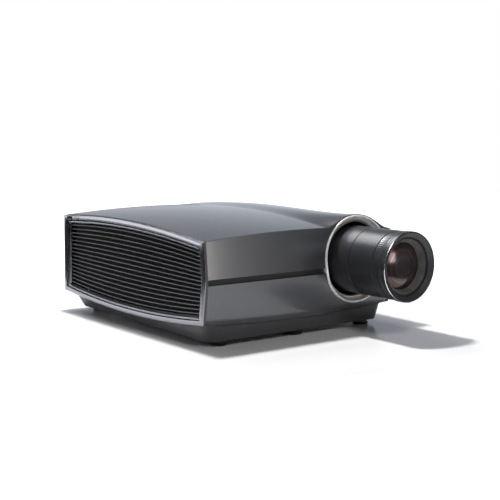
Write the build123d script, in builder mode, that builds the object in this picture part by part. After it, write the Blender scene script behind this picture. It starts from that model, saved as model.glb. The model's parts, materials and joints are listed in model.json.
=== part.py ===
from build123d import *
import math
import os

os.makedirs("parts", exist_ok=True)

# A home cinema projector. The frame stands on the floor: origin under the middle of the
# whole length, +Z up, the lens points along -Y, +X is to the right of someone facing it.

# Pillow-shaped body between the side frames
WIDTH = 482.0
HALF_WIDTH = WIDTH / 2
FRONT_Y = -185.0
BACK_Y = 336.0
BULGE = 8.0
CROWN_Z = 229.7
CROWN_Y = 127.0
CROWN_RADIUS_X = 2852.0
CROWN_RADIUS_Y = 2379.0
BELLY_Z = 20.0
BELLY_Y = 75.0
BELLY_RADIUS_X = 2976.0
BELLY_RADIUS_Y = 2252.0
SKIN = 3.0
SEAM = 0.4
SWEEP_DEG = 5.5
BLOCK_FRONT_Y = FRONT_Y - 60
BLOCK_BACK_Y = BACK_Y + 20
CROWN_BLOCK_DEPTH = 226.0
BELLY_BLOCK_DEPTH = 260.0
CUT_FRONT_Y = FRONT_Y - 20
FACE_SLAB = 60.0
GROOVE_TOP = 130.3
GROOVE_BOTTOM = 119.3
FRONT_CORNER_TOP = 199.3
FRONT_CORNER_BOTTOM = 44.5

# Side frames, grilles and filters, as depths in from the side faces
FRAME_DEPTH = 8.0
FRAME_BAND = 10.0
BEZEL_SINK = 2.5
BEZEL_DEPTH = 8.5
BEZEL_BAND = 7.5
BEZEL_GAP = 1.2
LOUVRE_COUNT = 16
LOUVRE_SINK = 8.0
LOUVRE_DEPTH = 7.0
GRILLE_RIM_SINK = 11.3
GRILLE_RIM_DEPTH = 3.7
FILTER_SINK = 17.5
FILTER_DEPTH = 4.0

# Base tray and feet
BASE_Z = 10.0
TRAY_TOP_Z = 52.0
TRAY_WALL = 3.0
TRAY_FLOOR_TOP = BASE_Z + TRAY_WALL
FOOT_X = 184.0
FOOT_Y = -158.0
REAR_FOOT_X = 170.0
REAR_FOOT_Y = 300.0
MOUNT_SPACING_X = 240.0
MOUNT_SPACING_Y = 300.0
MOUNT_CENTRE_Y = 75.0
MOUNT_HOLE_R = 3.0
STEM_R = 4.95
STEM_BORE_R = 5.0

# Lens
LENS_X = 143.0
LENS_Z = 141.5
BARREL_R = 68.2
HOOD_R = 69.4
RIM_Y = -336.0
HOOD_BACK_Y = -323.0
FOCUS_BACK_Y = -298.6
ZOOM_BACK_Y = -233.3
BARREL_BACK_Y = -150.0
SLEEVE_R = 61.95
RING_BORE_R = 62.0
BORE_R = 54.0
REAR_TUBE_R = 45.0
REAR_TUBE_BACK_Y = -76.0
RING_R = 89.5
RING_ROOM_BACK_Y = -174.0
RING_OPENING_R = 75.0
HOOD_SWELL_R = 92.5
SWELL_BACK_R = 80.0
SWELL_BACK_Y = -10.0
LENS_PLANE = Plane(origin=(LENS_X, 0, LENS_Z), x_dir=(1, 0, 0), z_dir=(0, -1, 0))
LENS_AXIS = Axis((LENS_X, 0, LENS_Z), (0, 1, 0))


def crown_height(x, y):
    """Height of the crowned top surface."""
    radius = CROWN_RADIUS_X - CROWN_RADIUS_Y + math.sqrt(CROWN_RADIUS_Y**2 - (y - CROWN_Y) ** 2)
    return CROWN_Z - CROWN_RADIUS_X + math.sqrt(radius**2 - x**2)


def belly_height(x, y):
    """Height of the bowed lower surface of the body."""
    radius = BELLY_RADIUS_X - BELLY_RADIUS_Y + math.sqrt(BELLY_RADIUS_Y**2 - (y - BELLY_Y) ** 2)
    return BELLY_Z + BELLY_RADIUS_X - math.sqrt(radius**2 - x**2)


def lean_y(z):
    """Place of the front face, which stands forward along the groove."""
    if z > GROOVE_TOP:
        return FRONT_Y - BULGE + BULGE * (z - GROOVE_TOP) / (FRONT_CORNER_TOP - GROOVE_TOP)
    if z < GROOVE_BOTTOM:
        return FRONT_Y - BULGE + BULGE * (GROOVE_BOTTOM - z) / (GROOVE_BOTTOM - FRONT_CORNER_BOTTOM)
    return FRONT_Y - BULGE


def bowed_block(radius_x, radius_y, middle_y, peak_z, up, skin, depth):
    """Solid behind a surface bowed along X and Y: up is 1 for the crown, -1 for the belly."""
    centre = Vector(0, 0, peak_z - up * radius_x)
    angle = math.radians(SWEEP_DEG)
    start = Plane(origin=centre, x_dir=(0, 1, 0), z_dir=(up * math.cos(angle), 0, up * math.sin(angle)))
    low_y = BLOCK_FRONT_Y
    high_y = BLOCK_BACK_Y

    def reach(y):
        return radius_x - radius_y + math.sqrt((radius_y - skin) ** 2 - (y - middle_y) ** 2)

    with BuildPart() as block:
        with BuildSketch(start):
            with BuildLine():
                ThreePointArc((low_y, reach(low_y)), (middle_y, reach(middle_y)), (high_y, reach(high_y)))
                Polyline(
                    (high_y, reach(high_y)),
                    (high_y, radius_x - depth),
                    (low_y, radius_x - depth),
                    (low_y, reach(low_y)),
                )
            make_face()
        revolve(axis=Axis(centre, (0, 1, 0)), revolution_arc=2 * SWEEP_DEG)
    return block.part


def crown_block(skin=0.0):
    return bowed_block(CROWN_RADIUS_X, CROWN_RADIUS_Y, CROWN_Y, CROWN_Z, 1, skin, CROWN_BLOCK_DEPTH)


def belly_block(skin=0.0):
    return bowed_block(BELLY_RADIUS_X, BELLY_RADIUS_Y, BELLY_Y, BELLY_Z, -1, skin, BELLY_BLOCK_DEPTH)


def lean_prism(skin=0.0):
    """The front-to-back outline without its crown, as wide as the body."""
    top_z = 255.0
    bottom_z = 4.0
    with BuildPart() as prism:
        with BuildSketch(Plane.YZ):
            with BuildLine():
                Polyline(
                    (BACK_Y - skin, bottom_z),
                    (BACK_Y - skin, top_z),
                    (lean_y(top_z) + skin, top_z),
                    (lean_y(GROOVE_TOP) + skin, GROOVE_TOP),
                    (lean_y(GROOVE_BOTTOM) + skin, GROOVE_BOTTOM),
                    (lean_y(bottom_z) + skin, bottom_z),
                    close=True,
                )
            make_face()
        extrude(amount=HALF_WIDTH, both=True)
    return prism.part


def swell_cone(skin=0.0):
    """The swelling of the top cover over the lens opening."""
    front_y = CUT_FRONT_Y + 5
    with BuildPart() as cone:
        with BuildSketch(Plane(origin=(LENS_X, 0, LENS_Z), x_dir=(0, 1, 0), z_dir=(1, 0, 0))):
            with BuildLine():
                Polyline(
                    (front_y, 0),
                    (front_y, HOOD_SWELL_R - skin),
                    (RING_ROOM_BACK_Y + SKIN, HOOD_SWELL_R - skin),
                    (SWELL_BACK_Y, SWELL_BACK_R - skin),
                    (SWELL_BACK_Y, 0),
                    close=True,
                )
            make_face()
        revolve(axis=LENS_AXIS)
    return cone.part


def body_envelope(skin=0.0):
    """The whole pillow shape, moved inwards by skin."""
    with BuildPart() as envelope:
        add(crown_block(skin))
        add(swell_cone(skin))
        add(belly_block(skin), mode=Mode.INTERSECT)
        add(lean_prism(skin), mode=Mode.INTERSECT)
    return envelope.part


def lens_tube(outer_r, inner_r, front_y, back_y):
    """A plain tube about the lens axis."""
    with BuildPart() as tube:
        with BuildSketch(LENS_PLANE.offset(-front_y)):
            Circle(outer_r)
            if inner_r > 0:
                Circle(inner_r, mode=Mode.SUBTRACT)
        extrude(amount=front_y - back_y)
    return tube.part


def lens_solid(points):
    """A solid of revolution about the lens axis from (y, radius) points."""
    with BuildPart() as solid:
        with BuildSketch(Plane(origin=(LENS_X, 0, LENS_Z), x_dir=(0, 1, 0), z_dir=(1, 0, 0))):
            with BuildLine():
                Polyline(*points, close=True)
            make_face()
        revolve(axis=LENS_AXIS)
    return solid.part


# ---------------------------------------------------------------- outer shell
INNER_HALF = HALF_WIDTH - FRAME_DEPTH - SEAM
OPENING_CLEARANCE = 0.3
MID_Z = 130.0
FAR = 400.0

with BuildPart() as skin_shell:
    add(body_envelope())
    add(body_envelope(SKIN), mode=Mode.SUBTRACT)
    with Locations((0, 0, MID_Z)):
        Box(2 * INNER_HALF, 2 * FAR, FAR, mode=Mode.INTERSECT)
    add(lens_tube(RING_R + OPENING_CLEARANCE, 0, CUT_FRONT_Y, RING_ROOM_BACK_Y), mode=Mode.SUBTRACT)

COVER_BOTTOM_Z = 150.0
RING_SIDE_CUT = 9.0
with BuildPart() as top_cover:
    add(skin_shell.part)
    add(lean_prism(SKIN + SEAM), mode=Mode.INTERSECT)
    with Locations((0, 0, COVER_BOTTOM_Z + FAR / 2)):
        Box(2 * HALF_WIDTH, 2 * FAR, FAR, mode=Mode.INTERSECT)
top_cover.part.label = "top_cover"
export_step(top_cover.part, "parts/top_cover.step")

with BuildPart() as front_panel_upper:
    add(skin_shell.part)
    add(lean_prism(SKIN), mode=Mode.SUBTRACT)
    with Locations((0, FRONT_Y, GROOVE_TOP + FAR / 2)):
        Box(2 * HALF_WIDTH, FACE_SLAB, FAR, mode=Mode.INTERSECT)
    with Locations((LENS_X + RING_R, FRONT_Y, (GROOVE_TOP + LENS_Z) / 2)):
        Box(RING_SIDE_CUT, FACE_SLAB, LENS_Z - GROOVE_TOP + SEAM, mode=Mode.SUBTRACT)
front_panel_upper.part.label = "front_panel_upper"
export_step(front_panel_upper.part, "parts/front_panel_upper.step")

with BuildPart() as front_panel_lower:
    add(skin_shell.part)
    add(lean_prism(SKIN), mode=Mode.SUBTRACT)
    with Locations((0, FRONT_Y, GROOVE_BOTTOM - FAR / 2)):
        Box(2 * HALF_WIDTH, FACE_SLAB, FAR, mode=Mode.INTERSECT)
front_panel_lower.part.label = "front_panel_lower"
export_step(front_panel_lower.part, "parts/front_panel_lower.step")

STRIP_OVERLAP = 4.0
STRIP_THICKNESS = 3.0
STRIP_SINK = 1.6
STRIP_RING_GAP = 2.5
strip_height = GROOVE_TOP - GROOVE_BOTTOM + 2 * STRIP_OVERLAP
strip_y = FRONT_Y - BULGE + SKIN + STRIP_SINK + STRIP_THICKNESS / 2
with BuildPart() as front_groove_strip:
    with Locations((0, strip_y, (GROOVE_TOP + GROOVE_BOTTOM) / 2)):
        Box(2 * INNER_HALF, STRIP_THICKNESS, strip_height)
    add(lens_tube(RING_R + STRIP_RING_GAP, 0, CUT_FRONT_Y, FRONT_Y + FACE_SLAB / 2), mode=Mode.SUBTRACT)
    split(bisect_by=Plane.YZ.offset(LENS_X), keep=Keep.BOTTOM)
front_groove_strip.part.label = "front_groove_strip"
export_step(front_groove_strip.part, "parts/front_groove_strip.step")


# ---------------------------------------------------------------- side frames and grilles
OPENING_INSET = FRAME_BAND + BEZEL_GAP + BEZEL_BAND
LOUVRE_CLEARANCE = 0.3
LOUVRE_SHARE = 0.36
RIM_OUTER_INSET = 13.0
RIM_INNER_INSET = 22.0
FILTER_INSET = 16.0
TIE_BARS = (-2, -1, 0, 1, 2)
TIE_SPACING = 90.0
TIE_HEIGHT = 200.0
TIE_WIDTH = 3.0
TIE_DEPTH = 2.0
FRAME_CHAMFER = 2.5
BEZEL_CHAMFER = 4.5
WINDOW_Y = 311.0
WINDOW_Z = 206.6
WINDOW_LENGTH = 24.0
WINDOW_HEIGHT = 6.0
WINDOW_DEPTH = 1.6
LIGHT_Y = (288.0, 280.0, 272.0)
LIGHT_Z = 208.6
LIGHT_WIDTH = 1.8
LIGHT_HEIGHT = 5.0
RING_ROOM_GAP = 0.5


def side_outline(inset):
    """Barrel-shaped side outline as a sketch of (y, z), moved inwards by inset."""
    with BuildSketch() as outline:
        with BuildLine():
            ThreePointArc(*[(y, crown_height(HALF_WIDTH, y)) for y in (FRONT_Y, CROWN_Y, BACK_Y)])
            Line((BACK_Y, crown_height(HALF_WIDTH, BACK_Y)), (BACK_Y, belly_height(HALF_WIDTH, BACK_Y)))
            ThreePointArc(*[(y, belly_height(HALF_WIDTH, y)) for y in (BACK_Y, BELLY_Y, FRONT_Y)])
            Polyline(
                (FRONT_Y, belly_height(HALF_WIDTH, FRONT_Y)),
                (FRONT_Y - BULGE, GROOVE_BOTTOM),
                (FRONT_Y - BULGE, GROOVE_TOP),
                (FRONT_Y, crown_height(HALF_WIDTH, FRONT_Y)),
            )
        make_face()
        if inset > 0:
            offset(amount=-inset, kind=Kind.INTERSECTION, mode=Mode.REPLACE)
    return outline.sketch


def side_plate(sign, sink, depth, outer_inset, inner_inset=None):
    """A plate parallel to the side face, sunk in from it, open inside inner_inset."""
    with BuildPart() as plate:
        with BuildSketch(Plane.YZ.offset(sign * (HALF_WIDTH - sink))):
            add(side_outline(outer_inset))
            if inner_inset is not None:
                add(side_outline(inner_inset), mode=Mode.SUBTRACT)
        extrude(amount=-sign * depth)
    return plate.part


def louvre_band(sign, low, high):
    """A curved bar across the grille, between two shares of the opening's height."""
    stations = (FRONT_Y - BULGE, BELLY_Y, BACK_Y)

    def level(y, share):
        bottom = belly_height(HALF_WIDTH, y) + OPENING_INSET
        return bottom + (crown_height(HALF_WIDTH, y) - OPENING_INSET - bottom) * share

    with BuildPart() as band:
        with BuildSketch(Plane.YZ.offset(sign * (HALF_WIDTH - LOUVRE_SINK))):
            with BuildLine():
                ThreePointArc(*[(y, level(y, high)) for y in stations])
                Line((stations[2], level(stations[2], high)), (stations[2], level(stations[2], low)))
                ThreePointArc(*[(y, level(y, low)) for y in reversed(stations)])
                Line((stations[0], level(stations[0], low)), (stations[0], level(stations[0], high)))
            make_face()
        extrude(amount=-sign * LOUVRE_DEPTH)
    return band.part


def tie_bars(sign):
    """Upright bars that hold the louvres from behind."""
    tie_x = sign * (HALF_WIDTH - LOUVRE_SINK - LOUVRE_DEPTH + TIE_DEPTH / 2)
    with BuildPart() as ties:
        with Locations(*[(tie_x, BELLY_Y + TIE_SPACING * bar, MID_Z) for bar in TIE_BARS]):
            Box(TIE_DEPTH, TIE_WIDTH, TIE_HEIGHT)
        add(
            side_plate(sign, 0, 2 * FRAME_CHAMFER + LOUVRE_SINK + LOUVRE_DEPTH, RIM_OUTER_INSET),
            mode=Mode.INTERSECT,
        )
    return ties.part


ring_room = lens_tube(RING_R + RING_ROOM_GAP, 0, CUT_FRONT_Y, RING_ROOM_BACK_Y)

for side, sign in (("left", -1), ("right", 1)):
    with BuildPart() as side_frame:
        add(side_plate(sign, 0, FRAME_DEPTH, 0, FRAME_BAND))
        outer_face = side_frame.faces().filter_by(Axis.X).sort_by(Axis.X)[0 if sign < 0 else -1]
        chamfer(outer_face.outer_wire().edges(), length=FRAME_CHAMFER)
        if sign < 0:
            with Locations((-HALF_WIDTH, WINDOW_Y, WINDOW_Z)):
                Box(2 * WINDOW_DEPTH, WINDOW_LENGTH, WINDOW_HEIGHT, mode=Mode.SUBTRACT)
            with Locations(*[(-HALF_WIDTH, y, LIGHT_Z) for y in LIGHT_Y]):
                Box(2 * WINDOW_DEPTH, LIGHT_WIDTH, LIGHT_HEIGHT, mode=Mode.SUBTRACT)
    side_frame.part.label = f"side_frame_{side}"
    export_step(side_frame.part, f"parts/side_frame_{side}.step")

    with BuildPart() as bezel:
        add(side_plate(sign, BEZEL_SINK, BEZEL_DEPTH, FRAME_BAND + BEZEL_GAP, OPENING_INSET))
        outer_face = bezel.faces().filter_by(Axis.X).sort_by(Axis.X)[0 if sign < 0 else -1]
        chamfer(outer_face.inner_wires()[0].edges(), length=BEZEL_CHAMFER)
        add(ring_room, mode=Mode.SUBTRACT)
    bezel.part.label = f"grille_bezel_{side}"
    export_step(bezel.part, f"parts/grille_bezel_{side}.step")

    with BuildPart() as louvres:
        for bar in range(LOUVRE_COUNT):
            middle = (bar + 0.5) / LOUVRE_COUNT
            half_share = LOUVRE_SHARE / LOUVRE_COUNT / 2
            add(louvre_band(sign, middle - half_share, middle + half_share))
        opening = side_plate(sign, LOUVRE_SINK, LOUVRE_DEPTH, OPENING_INSET + LOUVRE_CLEARANCE)
        add(opening, mode=Mode.INTERSECT)
        add(side_plate(sign, GRILLE_RIM_SINK, GRILLE_RIM_DEPTH, RIM_OUTER_INSET, RIM_INNER_INSET))
        add(tie_bars(sign))
        add(ring_room, mode=Mode.SUBTRACT)
    louvres.part.label = f"grille_louvres_{side}"
    export_step(louvres.part, f"parts/grille_louvres_{side}.step")

    with BuildPart() as dust_filter:
        add(side_plate(sign, FILTER_SINK, FILTER_DEPTH, FILTER_INSET))
        add(ring_room, mode=Mode.SUBTRACT)
    dust_filter.part.label = f"dust_filter_{side}"
    export_step(dust_filter.part, f"parts/dust_filter_{side}.step")

INLAY_CLEARANCE = 0.15
INLAY_SINK = 0.2
INLAY_BACK_GAP = 0.1
inlay_x = -HALF_WIDTH + (INLAY_SINK + WINDOW_DEPTH) / 2
inlay_depth = WINDOW_DEPTH - INLAY_SINK - INLAY_BACK_GAP
with BuildPart() as status_window:
    with Locations((inlay_x, WINDOW_Y, WINDOW_Z)):
        Box(inlay_depth, WINDOW_LENGTH - 2 * INLAY_CLEARANCE, WINDOW_HEIGHT - 2 * INLAY_CLEARANCE)
status_window.part.label = "status_window"
export_step(status_window.part, "parts/status_window.step")

with BuildPart() as indicator_lights:
    with Locations(*[(inlay_x, y, LIGHT_Z) for y in LIGHT_Y]):
        Box(inlay_depth, LIGHT_WIDTH - 2 * INLAY_CLEARANCE, LIGHT_HEIGHT - 2 * INLAY_CLEARANCE)
indicator_lights.part.label = "indicator_lights"
export_step(indicator_lights.part, "parts/indicator_lights.step")


# ---------------------------------------------------------------- base tray and feet
TRAY_FRONT_HALF = 222.0
TRAY_REAR_HALF = 208.0
TRAY_TOP_HALF = 232.0
TRAY_CORNER_R = 26.0
TRAY_FRONT_Y = -178.0
TRAY_BACK_Y = 326.0
TRAY_TOP_FRONT_Y = -184.0
TRAY_TOP_BACK_Y = 333.0


def tray_block(bottom_z, wall):
    """The tray's outer form, or its hollow when a wall thickness is given."""
    front_half = TRAY_FRONT_HALF - wall
    rear_half = TRAY_REAR_HALF - wall
    corner = TRAY_CORNER_R - wall
    bottom_front = TRAY_FRONT_Y + wall
    bottom_back = TRAY_BACK_Y - wall
    top_front = TRAY_TOP_FRONT_Y + wall
    top_back = TRAY_TOP_BACK_Y - wall
    top_half = TRAY_TOP_HALF - wall
    with BuildPart() as block:
        with BuildSketch(Plane.XY.offset(bottom_z)) as lower:
            Polygon(
                (-front_half, bottom_front),
                (front_half, bottom_front),
                (rear_half, bottom_back),
                (-rear_half, bottom_back),
                align=None,
            )
            fillet(lower.vertices(), corner)
        with BuildSketch(Plane.XY.offset(TRAY_TOP_Z)) as upper:
            Polygon(
                (-top_half, top_front),
                (top_half, top_front),
                (top_half, top_back),
                (-top_half, top_back),
                align=None,
            )
            fillet(upper.vertices(), corner)
        loft()
    return block.part


BOSS_R = 9.0
BOSS_TOP_Z = 36.0
MOUNT_BOSS_TOP_Z = 26.0
MOUNT_HOLE_DEPTH = 14.0
BELLY_SEAM = 0.4
TRAY_SCREWS = [(x, y) for x in (-195.0, 195.0) for y in (-60.0, 75.0, 210.0)]
SCREW_R = 2.0
SCREW_HEAD_R = 4.0
SCREW_HOLE_R = 2.25
SCREW_POCKET_R = 4.3
SCREW_POCKET_DEPTH = 1.5
with BuildPart() as base_tray:
    add(tray_block(BASE_Z, 0))
    add(tray_block(TRAY_FLOOR_TOP, TRAY_WALL), mode=Mode.SUBTRACT)
    add(belly_block(-BELLY_SEAM), mode=Mode.SUBTRACT)
    with BuildSketch(Plane.XY.offset(BASE_Z)):
        with Locations((-FOOT_X, FOOT_Y), (FOOT_X, FOOT_Y)):
            Circle(BOSS_R)
    extrude(amount=BOSS_TOP_Z - BASE_Z)
    with BuildSketch(Plane.XY.offset(BASE_Z)):
        with Locations((0, MOUNT_CENTRE_Y)):
            with GridLocations(MOUNT_SPACING_X, MOUNT_SPACING_Y, 2, 2):
                Circle(BOSS_R)
    extrude(amount=MOUNT_BOSS_TOP_Z - BASE_Z)
    with BuildSketch(Plane.XY.offset(BASE_Z)):
        with Locations((-FOOT_X, FOOT_Y), (FOOT_X, FOOT_Y)):
            Circle(STEM_BORE_R)
    extrude(amount=BOSS_TOP_Z - BASE_Z, mode=Mode.SUBTRACT)
    with BuildSketch(Plane.XY.offset(BASE_Z)):
        with Locations((0, MOUNT_CENTRE_Y)):
            with GridLocations(MOUNT_SPACING_X, MOUNT_SPACING_Y, 2, 2):
                Circle(MOUNT_HOLE_R)
    extrude(amount=MOUNT_HOLE_DEPTH, mode=Mode.SUBTRACT)
    with BuildSketch(Plane.XY.offset(BASE_Z)):
        with Locations(*TRAY_SCREWS):
            Circle(SCREW_HOLE_R)
    extrude(amount=TRAY_WALL, mode=Mode.SUBTRACT)
    with BuildSketch(Plane.XY.offset(BASE_Z)):
        with Locations(*TRAY_SCREWS):
            Circle(SCREW_POCKET_R)
    extrude(amount=SCREW_POCKET_DEPTH, mode=Mode.SUBTRACT)
base_tray.part.label = "base_tray"
export_step(base_tray.part, "parts/base_tray.step")

SOLE_R = 16.0
SOLE_TOP_Z = 4.0
SOLE_CUP_TOP_Z = 2.0
WHEEL_R = 14.0
WHEEL_TOP_Z = 8.4
WHEEL_NOTCHES = 16
STEM_TOP_Z = 33.0
STEM_GAP = 0.2
STEM_CHAMFER = 1.0
SOLE_EDGE_R = 0.8
NOTCH_R = 1.4
NOTCH_OFFSET = 0.6
for side, sign in (("left", -1), ("right", 1)):
    with BuildPart() as foot_sole:
        with BuildSketch(Plane.XY):
            with Locations((sign * FOOT_X, FOOT_Y)):
                Circle(SOLE_R)
        extrude(amount=SOLE_TOP_Z)
        fillet(foot_sole.edges().sort_by(Axis.Z)[0], SOLE_EDGE_R)
        with BuildSketch(Plane.XY.offset(SOLE_CUP_TOP_Z)):
            with Locations((sign * FOOT_X, FOOT_Y)):
                Circle(STEM_BORE_R)
        extrude(amount=SOLE_TOP_Z - SOLE_CUP_TOP_Z, mode=Mode.SUBTRACT)
    foot_sole.part.label = f"foot_sole_{side}"
    export_step(foot_sole.part, f"parts/foot_sole_{side}.step")

    with BuildPart() as foot_stem:
        with BuildSketch(Plane.XY.offset(SOLE_TOP_Z + STEM_GAP)):
            with Locations((sign * FOOT_X, FOOT_Y)):
                Circle(WHEEL_R)
                with PolarLocations(WHEEL_R + NOTCH_OFFSET, WHEEL_NOTCHES):
                    Circle(NOTCH_R, mode=Mode.SUBTRACT)
        extrude(amount=WHEEL_TOP_Z - SOLE_TOP_Z - STEM_GAP)
        with BuildSketch(Plane.XY.offset(SOLE_CUP_TOP_Z + STEM_GAP)):
            with Locations((sign * FOOT_X, FOOT_Y)):
                Circle(STEM_R)
        extrude(amount=STEM_TOP_Z - SOLE_CUP_TOP_Z - STEM_GAP)
        chamfer(foot_stem.edges().sort_by(Axis.Z)[-1], STEM_CHAMFER)
    foot_stem.part.label = f"foot_stem_{side}"
    export_step(foot_stem.part, f"parts/foot_stem_{side}.step")

FIXED_FOOT_R = 20.0
FIXED_FOOT_TOP_R = 17.0
with BuildPart() as fixed_feet:
    with BuildSketch(Plane.XY):
        with Locations((0, FOOT_Y), (-REAR_FOOT_X, REAR_FOOT_Y), (REAR_FOOT_X, REAR_FOOT_Y)):
            Circle(FIXED_FOOT_TOP_R)
    extrude(amount=BASE_Z, taper=-math.degrees(math.atan2(FIXED_FOOT_R - FIXED_FOOT_TOP_R, BASE_Z)))
fixed_feet.part.label = "fixed_feet"
export_step(fixed_feet.part, "parts/fixed_feet.step")


# ---------------------------------------------------------------- rear panel
CONNECTOR_X = -30.0
CONNECTOR_Z = 92.0
CONNECTOR_WIDTH = 240.0
CONNECTOR_HEIGHT = 56.0
INLET_X = 165.0
INLET_Z = 92.0
INLET_WIDTH = 30.0
INLET_HEIGHT = 23.0
SWITCH_X = 204.0
SWITCH_WIDTH = 16.0
SWITCH_HEIGHT = 25.0
KEYPAD_X = 150.0
KEYPAD_Z = 160.0
KEYPAD_WIDTH = 110.0
KEYPAD_HEIGHT = 28.0
VENT_X = -30.0
VENT_Z = 160.0
VENT_COUNT = 22
VENT_PITCH = 10.0
VENT_WIDTH = 5.0
VENT_HEIGHT = 44.0
REAR_SCREWS = [(-215.0, 185.0), (215.0, 185.0), (-215.0, 62.0), (215.0, 62.0), (0.0, 200.0), (0.0, 52.0)]
FIT_GAP = 0.3
CONNECTOR_CORNER_R = 5.0
INLET_CORNER_R = 3.0
SWITCH_CORNER_R = 1.5
KEYPAD_CORNER_R = 6.0
REAR_PLANE = Plane(origin=(0, BACK_Y, 0), x_dir=(-1, 0, 0), z_dir=(0, 1, 0))
TRAY_PLANE = Plane(origin=(0, 0, BASE_Z), x_dir=(1, 0, 0), z_dir=(0, 0, -1))


def rear_sketch_plane(sink):
    """Plane facing backwards, sunk in from the rear face; its x runs towards -X."""
    return REAR_PLANE.offset(-sink)


with BuildPart() as rear_panel:
    add(skin_shell.part)
    add(lean_prism(SKIN), mode=Mode.SUBTRACT)
    with Locations((0, BACK_Y, MID_Z)):
        Box(2 * HALF_WIDTH, FACE_SLAB, FAR, mode=Mode.INTERSECT)
    with BuildSketch(rear_sketch_plane(0)):
        with Locations((-CONNECTOR_X, CONNECTOR_Z)):
            RectangleRounded(CONNECTOR_WIDTH, CONNECTOR_HEIGHT, CONNECTOR_CORNER_R)
        with Locations((-INLET_X, INLET_Z)):
            RectangleRounded(INLET_WIDTH, INLET_HEIGHT, INLET_CORNER_R)
        with Locations((-SWITCH_X, INLET_Z)):
            RectangleRounded(SWITCH_WIDTH, SWITCH_HEIGHT, SWITCH_CORNER_R)
        with Locations((-KEYPAD_X, KEYPAD_Z)):
            RectangleRounded(KEYPAD_WIDTH, KEYPAD_HEIGHT, KEYPAD_CORNER_R)
        with Locations((-VENT_X, VENT_Z)):
            with GridLocations(VENT_PITCH, 0, VENT_COUNT, 1):
                SlotOverall(VENT_HEIGHT, VENT_WIDTH, rotation=90)
        with Locations(*[(-x, z) for x, z in REAR_SCREWS]):
            Circle(SCREW_HOLE_R)
    extrude(amount=-SKIN, mode=Mode.SUBTRACT)
    with BuildSketch(rear_sketch_plane(0)):
        with Locations(*[(-x, z) for x, z in REAR_SCREWS]):
            Circle(SCREW_POCKET_R)
    extrude(amount=-SCREW_POCKET_DEPTH, mode=Mode.SUBTRACT)
rear_panel.part.label = "rear_panel"
export_step(rear_panel.part, "parts/rear_panel.step")

SCREW_LENGTH = 8.0
SCREW_KEY_R = 1.5
SCREW_HEAD_SINK = 0.1
SCREW_HEAD_HEIGHT = 1.3
SCREW_SHANK_SINK = 1.0
with BuildPart() as case_screws:
    screw_places = (
        (REAR_PLANE, [(-x, z) for x, z in REAR_SCREWS]),
        (TRAY_PLANE, [(x, -y) for x, y in TRAY_SCREWS]),
    )
    for plane, places in screw_places:
        with BuildSketch(plane.offset(-SCREW_HEAD_SINK)):
            with Locations(*places):
                Circle(SCREW_HEAD_R)
                RegularPolygon(radius=SCREW_KEY_R, side_count=6, mode=Mode.SUBTRACT)
        extrude(amount=-SCREW_HEAD_HEIGHT)
        with BuildSketch(plane.offset(-SCREW_SHANK_SINK)):
            with Locations(*places):
                Circle(SCREW_R)
        extrude(amount=-SCREW_LENGTH)
case_screws.part.label = "case_screws"
export_step(case_screws.part, "parts/case_screws.step")

# Connectors sit side by side along the plate: centre x, width, height of each hole
HDMI_HOLES = [(-125.0, 15.4, 6.0), (-98.0, 15.4, 6.0), (-71.0, 15.4, 6.0)]
NETWORK_HOLES = [(-42.0, 16.4, 14.0), (-20.0, 16.4, 14.0)]
USB_HOLES = [(4.0, 13.6, 6.2)]
JACK_X = (26.0, 44.0, 62.0)
JACK_R = 4.0
JACK_BORE_R = 1.8
SOCKET_Z = 90.0
SOCKET_PROUD = 1.4
SOCKET_LENGTH = 18.0
PLATE_THICKNESS = 1.5
PLATE_SINK = SKIN + 0.1
PLATE_OVERLAP = 5.0
PLATE_CORNER_R = 4.0
SOCKET_WALL = 0.5
TONGUE_MARGIN = 2.0
TONGUE_HEIGHT = 1.6
socket_sink = SKIN - SOCKET_PROUD
with BuildPart() as connector_plate:
    with BuildSketch(rear_sketch_plane(PLATE_SINK)):
        with Locations((-CONNECTOR_X, CONNECTOR_Z)):
            RectangleRounded(
                CONNECTOR_WIDTH + 2 * PLATE_OVERLAP,
                CONNECTOR_HEIGHT + 2 * PLATE_OVERLAP,
                PLATE_CORNER_R,
            )
        for x, width, height in HDMI_HOLES + NETWORK_HOLES + USB_HOLES:
            with Locations((-x, SOCKET_Z)):
                Rectangle(width + 2 * FIT_GAP, height + 2 * FIT_GAP, mode=Mode.SUBTRACT)
        with Locations(*[(-x, SOCKET_Z) for x in JACK_X]):
            Circle(JACK_R + FIT_GAP, mode=Mode.SUBTRACT)
    extrude(amount=-PLATE_THICKNESS)
connector_plate.part.label = "connector_plate"
export_step(connector_plate.part, "parts/connector_plate.step")

with BuildPart() as signal_sockets:
    for x, width, height in HDMI_HOLES + USB_HOLES:
        with BuildSketch(rear_sketch_plane(socket_sink)):
            with Locations((-x, SOCKET_Z)):
                Rectangle(width, height)
        extrude(amount=-SOCKET_LENGTH)
        with BuildSketch(rear_sketch_plane(socket_sink)):
            with Locations((-x, SOCKET_Z)):
                Rectangle(width - 2 * SOCKET_WALL, height - 2 * SOCKET_WALL)
                Rectangle(width - 2 * TONGUE_MARGIN, TONGUE_HEIGHT, mode=Mode.SUBTRACT)
        extrude(amount=-SOCKET_LENGTH / 2, mode=Mode.SUBTRACT)
    with BuildSketch(rear_sketch_plane(socket_sink)):
        with Locations(*[(-x, SOCKET_Z) for x in JACK_X]):
            Circle(JACK_R)
            Circle(JACK_BORE_R, mode=Mode.SUBTRACT)
    extrude(amount=-SOCKET_LENGTH)
signal_sockets.part.label = "signal_sockets"
export_step(signal_sockets.part, "parts/signal_sockets.step")

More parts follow.
